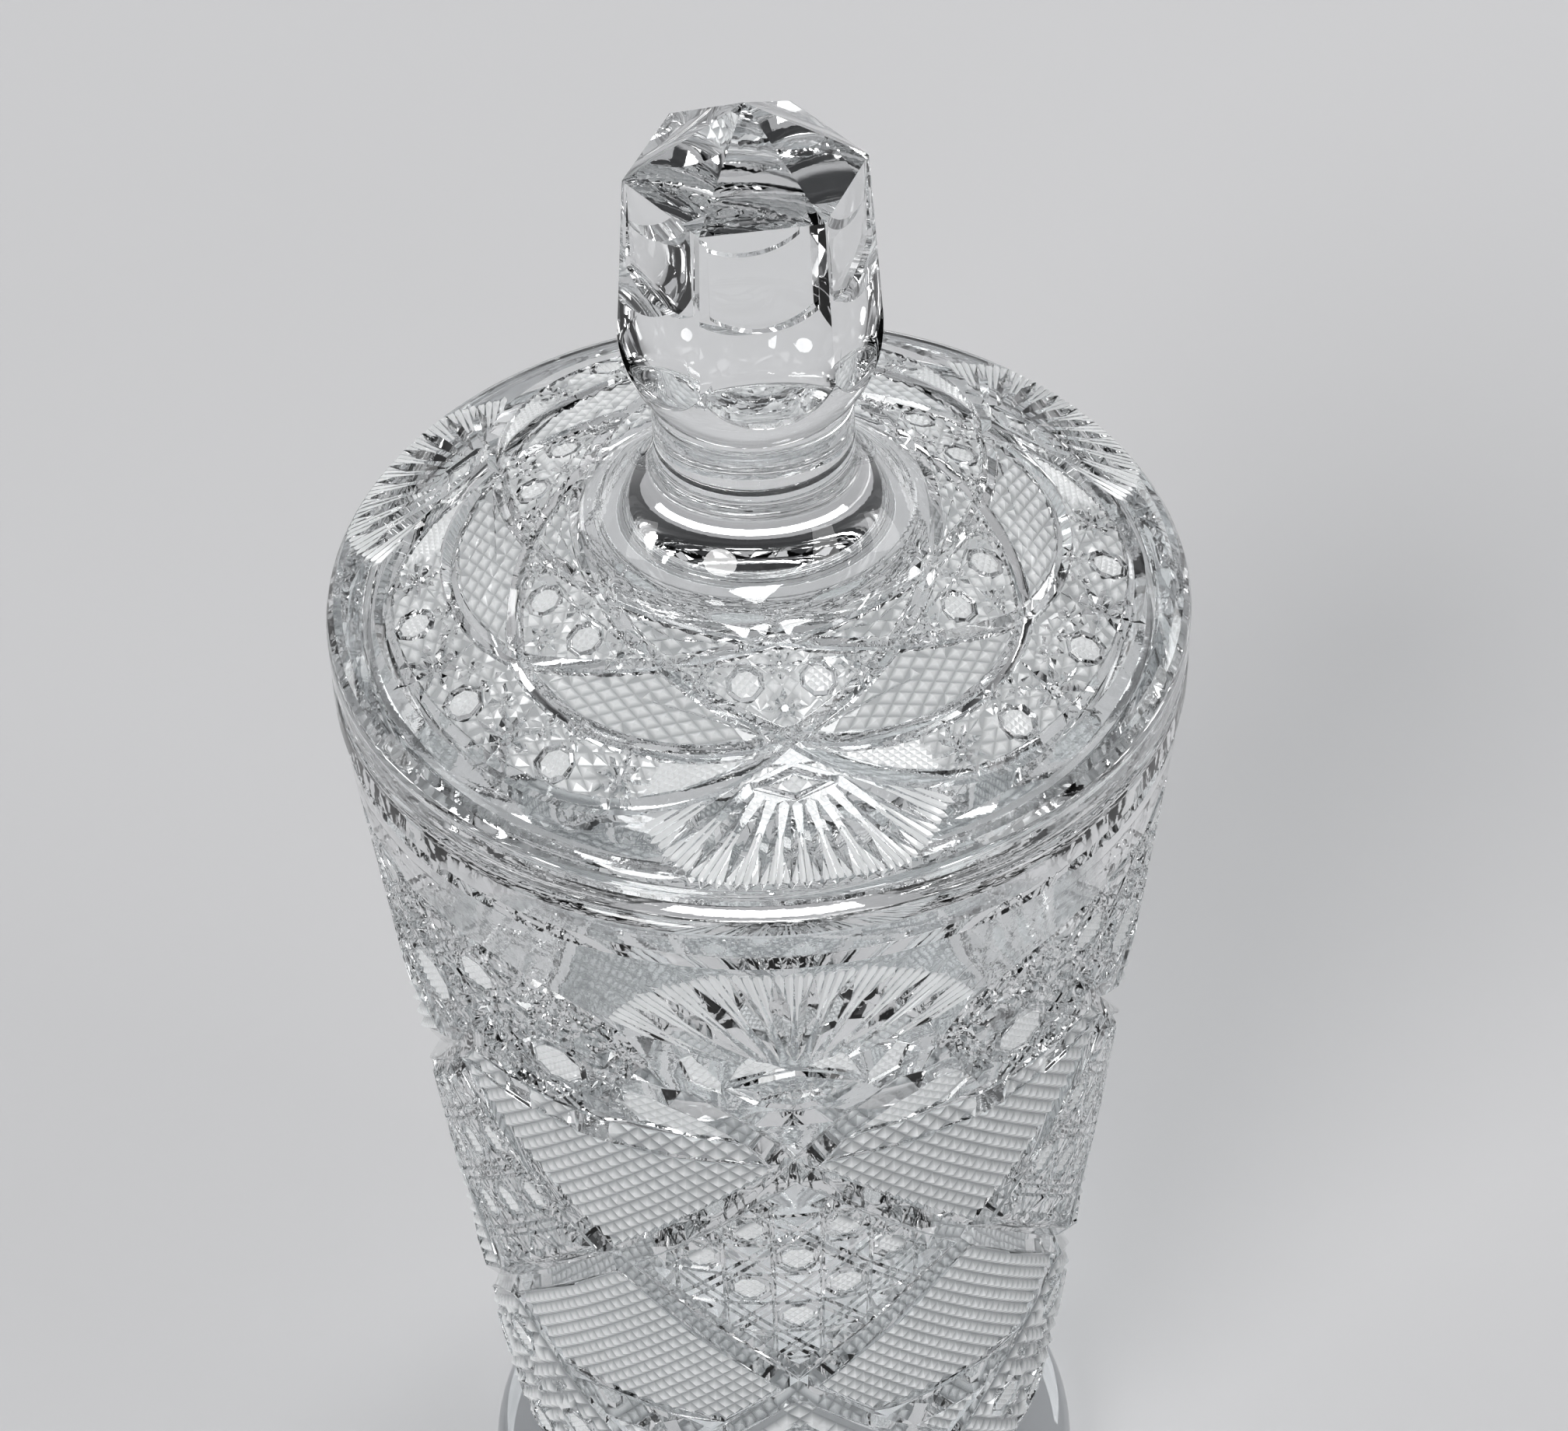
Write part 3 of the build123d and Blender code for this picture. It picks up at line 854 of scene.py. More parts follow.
def jar_sheet(cuts):
    """All the cuts of one mirrored half repeat of the jar."""
    sheet = CutSheet()
    wide, deep = cuts.mitre_width, cuts.mitre_depth
    shoulder = wide / 2 + MITRE_SHOULDER
    far = HALF_REPEAT
    heel, base, shelf, bar = (fallen(level) for level in (HEEL_LEVEL, HOBNAIL_BASE, SHELF_LEVEL, BAR_LEVEL))
    for path in (
        [(0, CROSS_LEVEL), (far, FOOT_LEVEL)],
        [(far, CROSS_LEVEL), (0, FOOT_LEVEL)],
        [(0, FOOT_LEVEL), (heel, HEEL_LEVEL)],
        [(far, FOOT_LEVEL), (far - heel, HEEL_LEVEL)],
    ):
        sheet.vee(unroll(path), wide, deep)
    sheet.vee(unroll(LEAF), [wide, wide, *LEAF_WIDTHS], [deep] * 5 + [0.0])
    sheet.vee(unroll(SIDE_LEAF), [wide, wide, *SIDE_LEAF_WIDTHS], [deep] * 3 + [0.0])
    sheet.vee(unroll([(-HEEL_OVERRUN, HEEL_LEVEL), (far + HEEL_OVERRUN, HEEL_LEVEL)]), *HEEL_CUT)
    for centre in (0.0, far):
        rhomb_cuts(sheet, cuts, centre, shoulder)
    # Hobnail above and below the rhombs' side corners, and in the small fields between the lowest mitres
    over = (HOBNAIL_TOP - CROSS_LEVEL) / MITRE_FALL
    upper = [(-over, HOBNAIL_TOP), (far + over, HOBNAIL_TOP), (QUARTER, SIDE_LEVEL)]
    lower = [(QUARTER, SIDE_LEVEL), (0, FOOT_LEVEL), (base, HOBNAIL_BASE), (far - base, HOBNAIL_BASE)]
    for outline, margins in (
        (upper, [0.0, shoulder, shoulder]),
        ([*lower, (far, FOOT_LEVEL)], [shoulder, shoulder, FIELD_EDGE, shoulder, shoulder]),
        (
            [(shelf, SHELF_LEVEL), (QUARTER, LOW_CROSS_LEVEL), (far - shelf, SHELF_LEVEL)],
            [shoulder, shoulder, FIELD_EDGE],
        ),
        (
            [(QUARTER, LOW_CROSS_LEVEL), (far - heel, HEEL_LEVEL), (heel, HEEL_LEVEL)],
            [shoulder, HEEL_MARGIN, shoulder],
        ),
    ):
        sheet.field(inset(unroll(outline), margins), HOBNAIL_TURNS, cuts.hobnail_pitch, cuts.hobnail_depth)
    # Long polished cut under the lower hobnail
    turns = (bar - BAR_OVERRUN, bar + BAR_TAPER, far - BAR_TAPER - bar, far + BAR_OVERRUN - bar)
    sheet.vee(unroll([(turn, BAR_LEVEL) for turn in turns]), BAR_WIDTHS, BAR_DEPTHS)
    for centre in (0.0, far):
        lowest_cane(sheet, cuts, centre, shoulder)
    crown_cuts(sheet, cuts)
    return sheet


# The jar's crown: the fan, its petals and the zone of hobstars under the plain neck

FAN_HUB = np.array([0.0, 230.0])
FAN_TOP = 264.2
FAN_REACH = 36.5
FAN_STEP = 11.7
FAN_START = 10.5
FAN_RAY = (3.6, 1.9)
BOAT_SIDE = [(4.5, 232.2), (9.0, 228.8), (5.0, 224.4)]
BOAT = [(0, 234.0), *BOAT_SIDE, (0, 222.9), *((-turn, level) for turn, level in BOAT_SIDE[::-1])]
BOAT_CUT = (1.7, 1.0)
BOAT_RINGS = ((-4.4, 227.2), (0.0, 227.2), (4.4, 227.2))
BOAT_RING_RADIUS = 1.3
BOAT_RING_CUT = (0.8, 0.5)
BOAT_STARS = ((-2.2, 227.4), (2.2, 227.4))
BOAT_STAR = (3.6, 0.9, 0.6)
PETAL = [(1.1, 235.3), (3.6, 237.6), (6.4, 239.0), (8.0, 235.6), (9.3, 230.8), (5.0, 233.6)]
PETAL_TURNS = (32, -50)
SIDE_PETAL = [(9.9, 230.6), (13.9, 239.2), (15.8, 237.0), (14.6, 230.4), (10.0, 227.2)]
SIDE_PETAL_TURNS = (20, -60)
# Tapered polished cuts beside the fan and under the boat: their paths, widths and depths
TAPERS = (
    ([(17.8, 227.2), (21.0, 230.4), (25.0, 233.2), (29.5, 235.2)], (0, 5.5, 5.5, 0), (0, 2, 2, 0)),
    ([(-8, 219.5), (-5.5, 219.5), (5.5, 219.5), (8, 219.5)], (0, 5, 5, 0), (0, 1.5, 1.5, 0)),
)
CRESCENT = [(4.4, 206.2), (9.4, 213.2), (14.6, 218.6), (19.6, 222.6), (24.0, 222.8), (26.2, 218.6)]
CRESCENT += [(22.5, 214.0), (15.0, 212.0), (8.8, 211.6)]
CRESCENT_TURNS = (38, -38)
CRESCENT_POINTS = (2.0, 0.75)
BAND = [(4.0, 203.6), (56.0, 203.6), (52.4, 210.9), (7.6, 210.9)]
BAND_TURNS = (50, -50)
BAND_POINTS = (3.3, 1.15)
SQUARES = (27.6, 41.0)
SQUARE_WIDTH = 5.2
SQUARE_LEVELS = (203.9, 210.6)
SQUARE_DEPTH = 2.0
SQUARE_MARGIN = 0.1
ZONE_EDGE = [(19.6, 231.5), (24.0, 241.6), (30.0, 246.4), (38.0, 249.6), (48.0, 251.0)]
ZONE_EDGE += [(60.0, 251.4), (72.0, 251.0)]
ZONE_EDGE_CUT = (2.0, 1.0)
ZONE_BASE = [(24.5, 226.5), (28.5, 219.0), (28.0, 211.4), (53.5, 211.4), (60.0, 211.4), (66.5, 211.4)]
ZONE = [ZONE_EDGE[0], *ZONE_BASE, (72.0, 250.5), (60.0, 250.5), *ZONE_EDGE[4:0:-1]]
ZONE_CELL = 8.3
ZONE_BUTTONS = ((34.5, 224.5, 5.4), (60.0, 224.5, 6.2), (47.2, 240.5, 4.4))
ZONE_RING = (1.4, 0.85)
ZONE_STARS = [(47.2, 224.5, 9.5), (34.5, 239.5, 7.6), (60.0, 240.5, 8.5), (23.6, 232.5, 6.6)]
ZONE_STARS += [(27.0, 222.0, 5.5), *((turn, level, 4.4) for level in (232.0, 216.0) for turn in (41.0, 53.5))]
ZONE_STAR_CUT = (2.8, 1.7)


def crown_cuts(sheet, cuts):
    """The fan, its petals and the zone of hobstars under the plain neck of the jar."""
    hatch = hatch_of(cuts)

    def reach_at(way):
        return min(FAN_REACH, (FAN_TOP - FAN_HUB[1]) / cos(way))

    fan_cuts(sheet, FAN_HUB, 1, FAN_STEP, FAN_START, reach_at, *FAN_RAY)
    sheet.vee(unroll(BOAT), *BOAT_CUT, closed=True)
    for place in BOAT_RINGS:
        sheet.vee(ring(spot(*place), BOAT_RING_RADIUS, *OCTAGON), *BOAT_RING_CUT, closed=True)
    for place in BOAT_STARS:
        sheet.star(spot(*place), *BOAT_STAR, turn=90, rays=6)
    sheet.field(unroll(PETAL), PETAL_TURNS, *hatch)
    sheet.field(unroll(SIDE_PETAL), SIDE_PETAL_TURNS, *hatch)
    for path, widths, depths in TAPERS:
        sheet.vee(unroll(path), widths, depths)
    sheet.field(unroll(CRESCENT), CRESCENT_TURNS, *CRESCENT_POINTS)
    low, high = SQUARE_LEVELS
    squares = []
    for turn in SQUARES:
        end = turn + SQUARE_WIDTH
        squares.append(unroll([(turn, low), (end, low), (end, high), (turn, high)]))
        sheet.facet(squares[-1], squares[-1][:2], SQUARE_DEPTH)
    sheet.field(unroll(BAND), BAND_TURNS, *BAND_POINTS, [inset(square, -SQUARE_MARGIN) for square in squares])
    holes = [sheet.button(spot(*place), radius, *ZONE_RING, hatch) for *place, radius in ZONE_BUTTONS]
    for *place, radius in ZONE_STARS:
        sheet.star(spot(*place), radius, *ZONE_STAR_CUT)
    cane_lines(sheet, cuts, spot(*ZONE_BUTTONS[0][:2]), ZONE_CELL, unroll(ZONE), holes)
    sheet.vee(unroll(ZONE_EDGE), *ZONE_EDGE_CUT)


# The jar's shape

WALL_ROWS = 48


def wall_ends(sizes):
    """Radius and level of the straight wall's ends, over the heel and under the lip's groove."""
    top = sizes.lip_level - sizes.lip_height - sizes.groove_height
    low = (sizes.heel_radius, sizes.stem_level + sizes.heel_height)
    return np.array([low, (sizes.rim_radius - sizes.shoulder_inset, top)])


def heel_arc(sizes):
    """The jar's rounded heel, from the stem up to the straight wall."""
    low, high = wall_ends(sizes)
    return tangent_arc(low, (sizes.stem_radius, sizes.stem_level), low - high, steps=48)[::-1]


def jar_point(sizes, places, depths):
    """Points on the jar's wall, cut in by a depth, in metres."""
    low, high = wall_ends(sizes)
    heel = heel_arc(sizes)
    levels = places[:, 1]
    slope = (high[0] - low[0]) / (high[1] - low[1])
    straight = low[0] + slope * (levels - low[1])
    radius = np.where(levels < low[1], np.interp(levels, heel[:, 1], heel[:, 0]), straight)
    lean = 1 / sqrt(1 + slope**2)
    return on_axis(places[:, 0] / JAR_DEGREE, radius - depths * lean, levels + depths * slope * lean)


def build_jar(sizes, cuts):
    """Half a repeat of the jar: its joint, heel, cut wall, lip, inner wall and floor."""
    half = HalfRepeat()
    wide = HALF_REPEAT * JAR_DEGREE
    low, high = sizes.cut_low, sizes.cut_high
    columns = np.linspace(0, wide, AXIS_STEPS + 1)
    rows = np.linspace(low, high, WALL_ROWS)
    border = np.array(
        [(column, low) for column in columns]
        + [(wide, row) for row in rows[1:-1]]
        + [(column, high) for column in columns[::-1]]
        + [(0, row) for row in rows[-2:0:-1]]
    )
    grid = np.stack(np.meshgrid(columns[1:-1:2], rows[1:-1]), axis=-1).reshape(-1, 2)

    def side_of(points):
        return (points[:, 0] < 2 * NEAR) + 2 * (points[:, 0] > wide - 2 * NEAR)

    def snap(points):
        return np.stack([np.choose(side_of(points), [points[:, 0], 0, wide]), points[:, 1]], axis=1)

    places, depths, faces, matt = jar_sheet(cuts).mesh(border, snap, side_of, grid)
    half.add(jar_point(sizes, places, depths), faces, matt=matt, depths=depths)
    rim, lip = sizes.rim_radius, sizes.lip_level
    mouth = rim - sizes.wall_thickness
    floor_radius = sizes.heel_radius - sizes.wall_thickness
    floor_level = sizes.stem_level + sizes.base_thickness
    under_lip = lip - sizes.lip_height
    shoulder, groove = wall_ends(sizes)[1]
    edge = jar_point(sizes, np.array([[0, low], [0, high]]), np.zeros(2)) / MM
    heel = heel_arc(sizes)
    half.turn_profile([(0, sizes.stem_level), (sizes.stem_radius, sizes.stem_level)], bonded=True)
    half.turn_profile(chain(heel[heel[:, 1] < low - NEAR], [(-edge[0][1], low)]))
    inner_wall = [(mouth, lip - sizes.mouth_round), (floor_radius, floor_level + sizes.floor_round)]
    profile = chain(
        [(-edge[1][1], high), (shoulder, groove)],
        [(shoulder - sizes.groove_depth, under_lip - sizes.groove_height / 2), (rim, under_lip)],
        rounded((rim, lip), sizes.lip_round, 0, 90, steps=8),
        rounded((mouth, lip), sizes.mouth_round, 90, 180, steps=6),
        np.linspace(*inner_wall, num=24),
        rounded((floor_radius, floor_level), sizes.floor_round, 0, -90, steps=12),
        [(0, floor_level)],
    )
    half.turn_profile(profile)
    return half


# The lid's cuts, in plan: shares of the rim's radius and degrees from the front
# A circle is given by its centre's distance from the axis and its radius

ROSETTE = (-0.333, 0.74)
SCALLOP = (0.241, 0.467)
BORDER = 0.872
POINT = 0.661
SWEEP_TURN = 39.0
BORDER_END = 62.0
BORDER_WIDER = 0.6
BORDER_DEEPER = 0.2
OUTER_MARGIN = 0.2
HATCHED_MARGIN = 0.5
RIBBON_SHOULDER = 0.15
LID_HOBNAIL_TURNS = (0, 60)
LID_HOBNAIL = (2.5, 0.95)
QUAD_BUTTONS = (-8.7, 8.7)
QUAD_BUTTON_OUT = 0.535
QUAD_BUTTON = (3.0, 0.8, 0.5)
QUAD_HATCH = (1.2, 0.42)
QUAD_STARS = ((0, 0.49), (0, 0.59), (-19.0, 0.525), (19.0, 0.525))
QUAD_STAR = (4.6, 1.5, 0.9)
QUAD_POINTS = (2.3, 0.8)
LID_HATCH = (1.15, 0.42)
OUTER_BUTTONS = (39.3, 60.0)
OUTER_BUTTON_OUT = 0.805
OUTER_BUTTON = (3.2, 0.9, 0.55)
# Turn, distance out, reach, width and depth of each star
OUTER_STARS = ((28.5, 0.785, 6.4, 1.9, 1.2), (49.7, 0.805, 8.6, 2.3, 1.4))
SMALL_STARS = ((39.3, 0.735), (60.0, 0.735), (44.5, 0.745), (55.0, 0.745))
OUTER_STARS += tuple((*place, 4.0, 1.3, 0.85) for place in SMALL_STARS)
OUTER_POINTS = (2.6, 0.9)
OUTER_TURNS = (15, 75)
# Corners of the part of the outer zone that has no points, because it is hatched: turn and distance out
HATCHED = ((6.0, 0.63), (22.5, 0.716 * 0.97), (24.5, 0.845 * 1.06), (6.0, 0.98))
HATCHED_TURNS = (33, -37)
LID_BOAT_SIDE = ((3.5, 0.755), (6.6, 0.772))
LID_BOAT = ((0, 0.735), *LID_BOAT_SIDE, (0, 0.80), (-6.6, 0.772), (-3.5, 0.755))
LID_BOAT_CUT = (1.2, 0.7)
LID_BOAT_MARGIN = 0.8
LID_BOAT_POINTS = (1.7, 0.6)
LID_PETAL = ((0.8, 0.722), (4.5, 0.722), (8.8, 0.752), (9.6, 0.78), (7.4, 0.762))
LID_PETAL_TURNS = (35, -55)
LID_FAN_HUB = 0.69
LID_FAN_STEP = 12.8
LID_FAN_START = 10.8
LID_FAN_REACH = 30.0
LID_FAN_MARGIN = 0.8
LID_FAN_RAY = (3.0, 1.4)


def plan(radius, turn):
    """A place on the lid, seen from above, from its distance out and its turn from the front."""
    turn = np.radians(turn)
    return np.stack([radius * np.sin(turn), -radius * np.cos(turn)], axis=-1)


def lid_arc(rim, circle, middle, first, last, steps):
    """Part of a circle, between two turns on either side of the way to its centre."""
    centre, radius = circle
    turns = np.linspace(first, last, steps + 1)
    toward = centre * np.cos(np.radians(turns))
    return plan(rim * (toward + np.sqrt(toward**2 + radius**2 - centre**2)), middle + turns)


def lid_sheet(rim, cuts):
    """All the cuts of one mirrored half repeat of the lid."""
    sheet = CutSheet()
    wide, deep = cuts.ribbon_width, cuts.ribbon_depth
    shoulder = wide / 2 + RIBBON_SHOULDER

    def rosette(middle, first, last, steps=24):
        return lid_arc(rim, ROSETTE, middle, first, last, steps)

    def scallop(middle):
        return lid_arc(rim, SCALLOP, middle, -30, 30, steps=18)

    toward = BORDER - POINT * cos(radians(SWEEP_TURN))
    centre = (BORDER**2 - POINT**2) / (2 * toward)
    # The sweep goes from the front point out to the border circle, which it runs into
    sweep = lid_arc(rim, (centre, BORDER - centre), SWEEP_TURN, -SWEEP_TURN, 0, steps=18)
    for middle in range(-90, 270, 60):
        sheet.vee(rosette(middle, -90, 90, steps=60), wide, deep)
    for middle in (-30, 30, 90):
        sheet.vee(scallop(middle), wide, deep)
    border = np.vstack([sweep, plan(rim * BORDER, np.linspace(SWEEP_TURN, BORDER_END, num=12))[1:]])
    sheet.vee(border, wide + BORDER_WIDER, deep + BORDER_DEEPER)
    inner = [rosette(30, -30, 30), rosette(90, -30, -60)[1:], rosette(-30, 60, 30)[1:-1]]
    moon = [rosette(90, -60, -90), scallop(30)[1:], rosette(-30, 90, 60)[1:-1]]
    for outline in (inner, moon):
        sheet.field(inset(np.vstack(outline), shoulder), LID_HOBNAIL_TURNS, *LID_HOBNAIL)
    for centre in (0, 60):
        quad = [rosette(centre - 30, 30, 60), rosette(centre + 90, -60, -90)[1:]]
        quad += [rosette(centre - 90, 90, 60)[1:], rosette(centre + 30, -60, -30)[1:-1]]
        places = [plan(rim * QUAD_BUTTON_OUT, centre + turn) for turn in QUAD_BUTTONS]
        holes = [sheet.button(place, *QUAD_BUTTON, QUAD_HATCH) for place in places]
        for turn, share in QUAD_STARS:
            sheet.star(plan(rim * share, centre + turn), *QUAD_STAR, centre)
        sheet.field(inset(np.vstack(quad), shoulder), (centre + 45, centre - 45), *QUAD_POINTS, holes)
    circle = plan(rim * BORDER, np.linspace(120 - SWEEP_TURN, SWEEP_TURN, num=24))
    zone = np.vstack([scallop(30), scallop(90)[1:], circle, sweep[::-1][1:-1]])
    hatched = np.vstack([scallop(30)[2:15], sweep[:12][::-1][:-2]])
    outer_cuts(sheet, rim, inset(zone, shoulder + OUTER_MARGIN), inset(hatched, shoulder + HATCHED_MARGIN))
    return sheet


def outer_cuts(sheet, rim, zone, hatched):
    """The lid's outer zone: hatched buttons and stars inside the border, and the fan outside it."""
    holes = []
    for turn in OUTER_BUTTONS:
        holes.append(sheet.button(plan(rim * OUTER_BUTTON_OUT, turn), *OUTER_BUTTON, LID_HATCH))
    for turn, share, *cut in OUTER_STARS:
        sheet.star(plan(rim * share, turn), *cut, turn)
    holes.append(np.array([plan(rim * share, turn) for turn, share in HATCHED]))
    sheet.field(zone, OUTER_TURNS, *OUTER_POINTS, holes)
    sheet.field(hatched, HATCHED_TURNS, *LID_HATCH)
    boat = np.array([plan(rim * share, turn) for turn, share in LID_BOAT])
    sheet.vee(boat, *LID_BOAT_CUT, closed=True)
    sheet.field(inset(boat, LID_BOAT_MARGIN), (45, -45), *LID_BOAT_POINTS)
    petal = [plan(rim * share, turn) for turn, share in LID_PETAL]
    sheet.field(petal, LID_PETAL_TURNS, *LID_HATCH)
    hub = np.array([0.0, -rim * LID_FAN_HUB])

    def reach_at(way):
        nearer = hub[1] * cos(way)
        return min(LID_FAN_REACH, nearer + sqrt(nearer**2 + (rim - LID_FAN_MARGIN) ** 2 - hub @ hub))

    fan_cuts(sheet, hub, -1, LID_FAN_STEP, LID_FAN_START, reach_at, *LID_FAN_RAY)


# The shapes of lid and foot

LID_BORDER_ROWS = 16
LID_ROWS = 30


def lid_top(sizes):
    """The lid's top, from the neck's collar down to the edge: distance out, radius and level."""
    edge_level = sizes.seat_level + sizes.edge_height
    start = (sizes.neck_radius, sizes.neck_level - sizes.collar_height)
    bell = tangent_arc(start, (sizes.hub_radius, edge_level + sizes.cone_rise), (0, -1), steps=40)
    turn_in = sizes.rim_radius - sizes.edge_upper_round
    turns = np.radians(np.linspace(0, 90, num=19))
    out = np.append(bell[:, 0], turn_in + sizes.edge_upper_round * turns)
    radius = np.append(bell[:, 0], turn_in + sizes.edge_upper_round * np.sin(turns))
    level = np.append(bell[:, 1], edge_level - sizes.edge_upper_round * (1 - np.cos(turns)))
    return out, radius, level


def lid_point(sizes, places, depths):
    """Points on the lid's top, cut in by a depth, in metres."""
    out = np.hypot(*places.T)
    turns = np.degrees(np.arctan2(places[:, 0], -places[:, 1]))
    along, radii, levels = lid_top(sizes)
    ahead = 0.05
    radius, level = np.interp(out, along, radii), np.interp(out, along, levels)
    run = np.interp(out + ahead, along, radii) - radius
    fall = np.interp(out + ahead, along, levels) - level
    size = np.hypot(run, fall)
    return on_axis(turns, radius + depths * fall / size, level - depths * run / size)


def build_lid(sizes, cuts):
    """Half a repeat of the lid: its hollow, spigot, edge, cut top, hub and joint."""
    half = HalfRepeat()
    low, high = sizes.cut_low, sizes.cut_high
    turns = np.linspace(0, HALF_REPEAT, AXIS_STEPS + 1)
    steps = np.linspace(low, high, LID_BORDER_ROWS)[1:-1]
    sides = [plan(high, turns), plan(steps, HALF_REPEAT)[::-1], plan(low, turns)[::-1], plan(steps, 0)]
    grid_out, grid_turns = np.meshgrid(np.linspace(low, high, LID_ROWS), turns[1:-1])
    grid = plan(grid_out.ravel(), grid_turns.ravel())

    def side_of(points):
        far = points @ -plan(1, HALF_REPEAT + 90)
        return (points[:, 0] < 2 * NEAR) + 2 * (far < 2 * NEAR)

    def snap(points):
        turn = np.degrees(np.arctan2(points[:, 0], -points[:, 1]))
        return plan(np.hypot(*points.T), np.choose(side_of(points), [turn, 0, HALF_REPEAT]))

    sheet = lid_sheet(sizes.rim_radius, cuts)
    places, depths, faces, matt = sheet.mesh(np.vstack(sides), snap, side_of, grid)
    # Triangles inside the plain hub are left out
    corners = places[np.array(faces)]
    chord = low * cos(radians(HALF_REPEAT / AXIS_STEPS / 2))
    outside = np.linalg.norm(corners.mean(axis=1), axis=1) > chord
    outside &= np.linalg.norm(corners, axis=2).max(axis=1) > low + NEAR
    faces = [face for face, good in zip(faces, outside) if good]
    half.add(lid_point(sizes, places, depths), faces, matt=matt[outside], depths=depths)
    along, radii, levels = lid_top(sizes)
    top = np.stack([radii, levels], axis=1)
    rims = lid_point(sizes, plan(np.array([high, low]), 0.0), np.zeros(2)) / MM
    seat = sizes.seat_level + sizes.seat_gap
    spigot_level = sizes.seat_level - sizes.spigot_depth
    hollow_edge = (sizes.spigot_radius - sizes.spigot_width, spigot_level)
    under = chain(
        tangent_arc((0, spigot_level + sizes.hollow_rise), hollow_edge, (1, 0), steps=24),
        rounded((sizes.spigot_radius, spigot_level), sizes.spigot_round, -90, 0, steps=5),
        [(sizes.spigot_radius, seat)],
        rounded((sizes.rim_radius, seat), sizes.edge_lower_round, -90, 0, steps=6),
        top[along > high][::-1],
        [(-rims[0][1], rims[0][2])],
    )
    half.turn_profile(under)
    neck = (sizes.neck_radius, sizes.neck_level)
    half.turn_profile(chain([(-rims[1][1], rims[1][2])], top[along < low - NEAR][::-1], [neck]))
    half.turn_profile([neck, (0, sizes.neck_level)], bonded=True)
    return half


def build_foot(sizes):
    """Half a repeat of the plain foot."""
    half = HalfRepeat()
    shelf = (sizes.radius - sizes.edge_round, sizes.edge_height)
    joint = (sizes.stem_radius, sizes.height)
    profile = chain(
        tangent_arc((0, sizes.recess_depth), (sizes.recess_radius, 0), (1, 0), steps=20),
        rounded((sizes.radius, 0), sizes.edge_round, -90, 0, steps=8),
        rounded((sizes.radius, sizes.edge_height), sizes.edge_round, 0, 90, steps=8),
        sagged(shelf, (sizes.stem_radius, sizes.height - sizes.stem_height), sizes.flare_sag, steps=16),
        [joint],
    )
    half.turn_profile(profile)
    half.turn_profile([joint, (0, sizes.height)], bonded=True)
    return half


# Materials

CRYSTAL_IOR = 1.545
RIPPLE_STRENGTH = 0.25
# Depths in millimetres between which the matt glass darkens with painted shade, deep between the small
# pyramids
PAINTED_SHADE_DEPTHS = {"From Min": 0.4, "From Max": 1.2}
# Roughness where the glass is clean and where it is handled, and the wheel's ripple
WHEEL_POLISH = dict(polish=0.0, haze=0.03, ripple_scale=700.0, ripple_height=0.00002)
MATT_POLISH = dict(polish=0.12, haze=0.22, ripple_scale=900.0, ripple_height=0.00002, matt=True)
FOOT_POLISH = dict(polish=0.0, haze=0.04, ripple_scale=300.0, ripple_height=0.00001)
FINIAL_POLISH = dict(polish=0.0, haze=0.03, ripple_scale=300.0, ripple_height=0.00001)


def polish_group():
    """Shader nodes for crystal: faint streaks of colour, a haze of handling and the wheel's ripple."""
    name = "Crystal polish"
    if name in bpy.data.node_groups:
        return bpy.data.node_groups[name]
    inputs = {"Clear": "Color", "Streak": "Color"}
    inputs.update({"Polish": "Float", "Haze": "Float", "Ripple Scale": "Float"})
    outputs = {"Colour": "Color", "Roughness": "Float", "Ripple": "Float"}
    group, given, result = new_group(name, "ShaderNodeTree", inputs, outputs)
    place = new_node(group, "ShaderNodeTexCoord")
    streak = new_node(group, "ShaderNodeTexNoise", Scale=14.0, Detail=3.0, Distortion=1.2)
    smudge = new_node(group, "ShaderNodeTexNoise", Scale=38.0, Detail=4.0, Roughness=0.6)
    ripple = new_node(group, "ShaderNodeTexNoise", Detail=2.0)
    tint = new_node(group, "ShaderNodeMix", data_type="RGBA")
    smudged = {"From Min": 0.48, "From Max": 0.72}
    hazy = new_node(group, "ShaderNodeMapRange", interpolation_type="SMOOTHSTEP", **smudged)
    wire(
        group,
        *((place, "Object", texture, "Vector") for texture in (streak, smudge, ripple)),
        (given, "Ripple Scale", ripple, "Scale"),
        (streak, "Fac", tint, "Factor"),
        (given, "Clear", tint, "A"),
        (given, "Streak", tint, "B"),
        (smudge, "Fac", hazy, "Value"),
        (given, "Polish", hazy, "To Min"),
        (given, "Haze", hazy, "To Max"),
        (tint, "Result", result, "Colour"),
        (hazy, "Result", result, "Roughness"),
        (ripple, "Fac", result, "Ripple"),
    )
    return group


def new_material(name):
    """An empty material, and its nodes with the output."""
    material = bpy.data.materials.new(name)
    material.use_nodes = True
    material.node_tree.nodes.clear()
    return material, material.node_tree, new_node(material.node_tree, "ShaderNodeOutputMaterial")


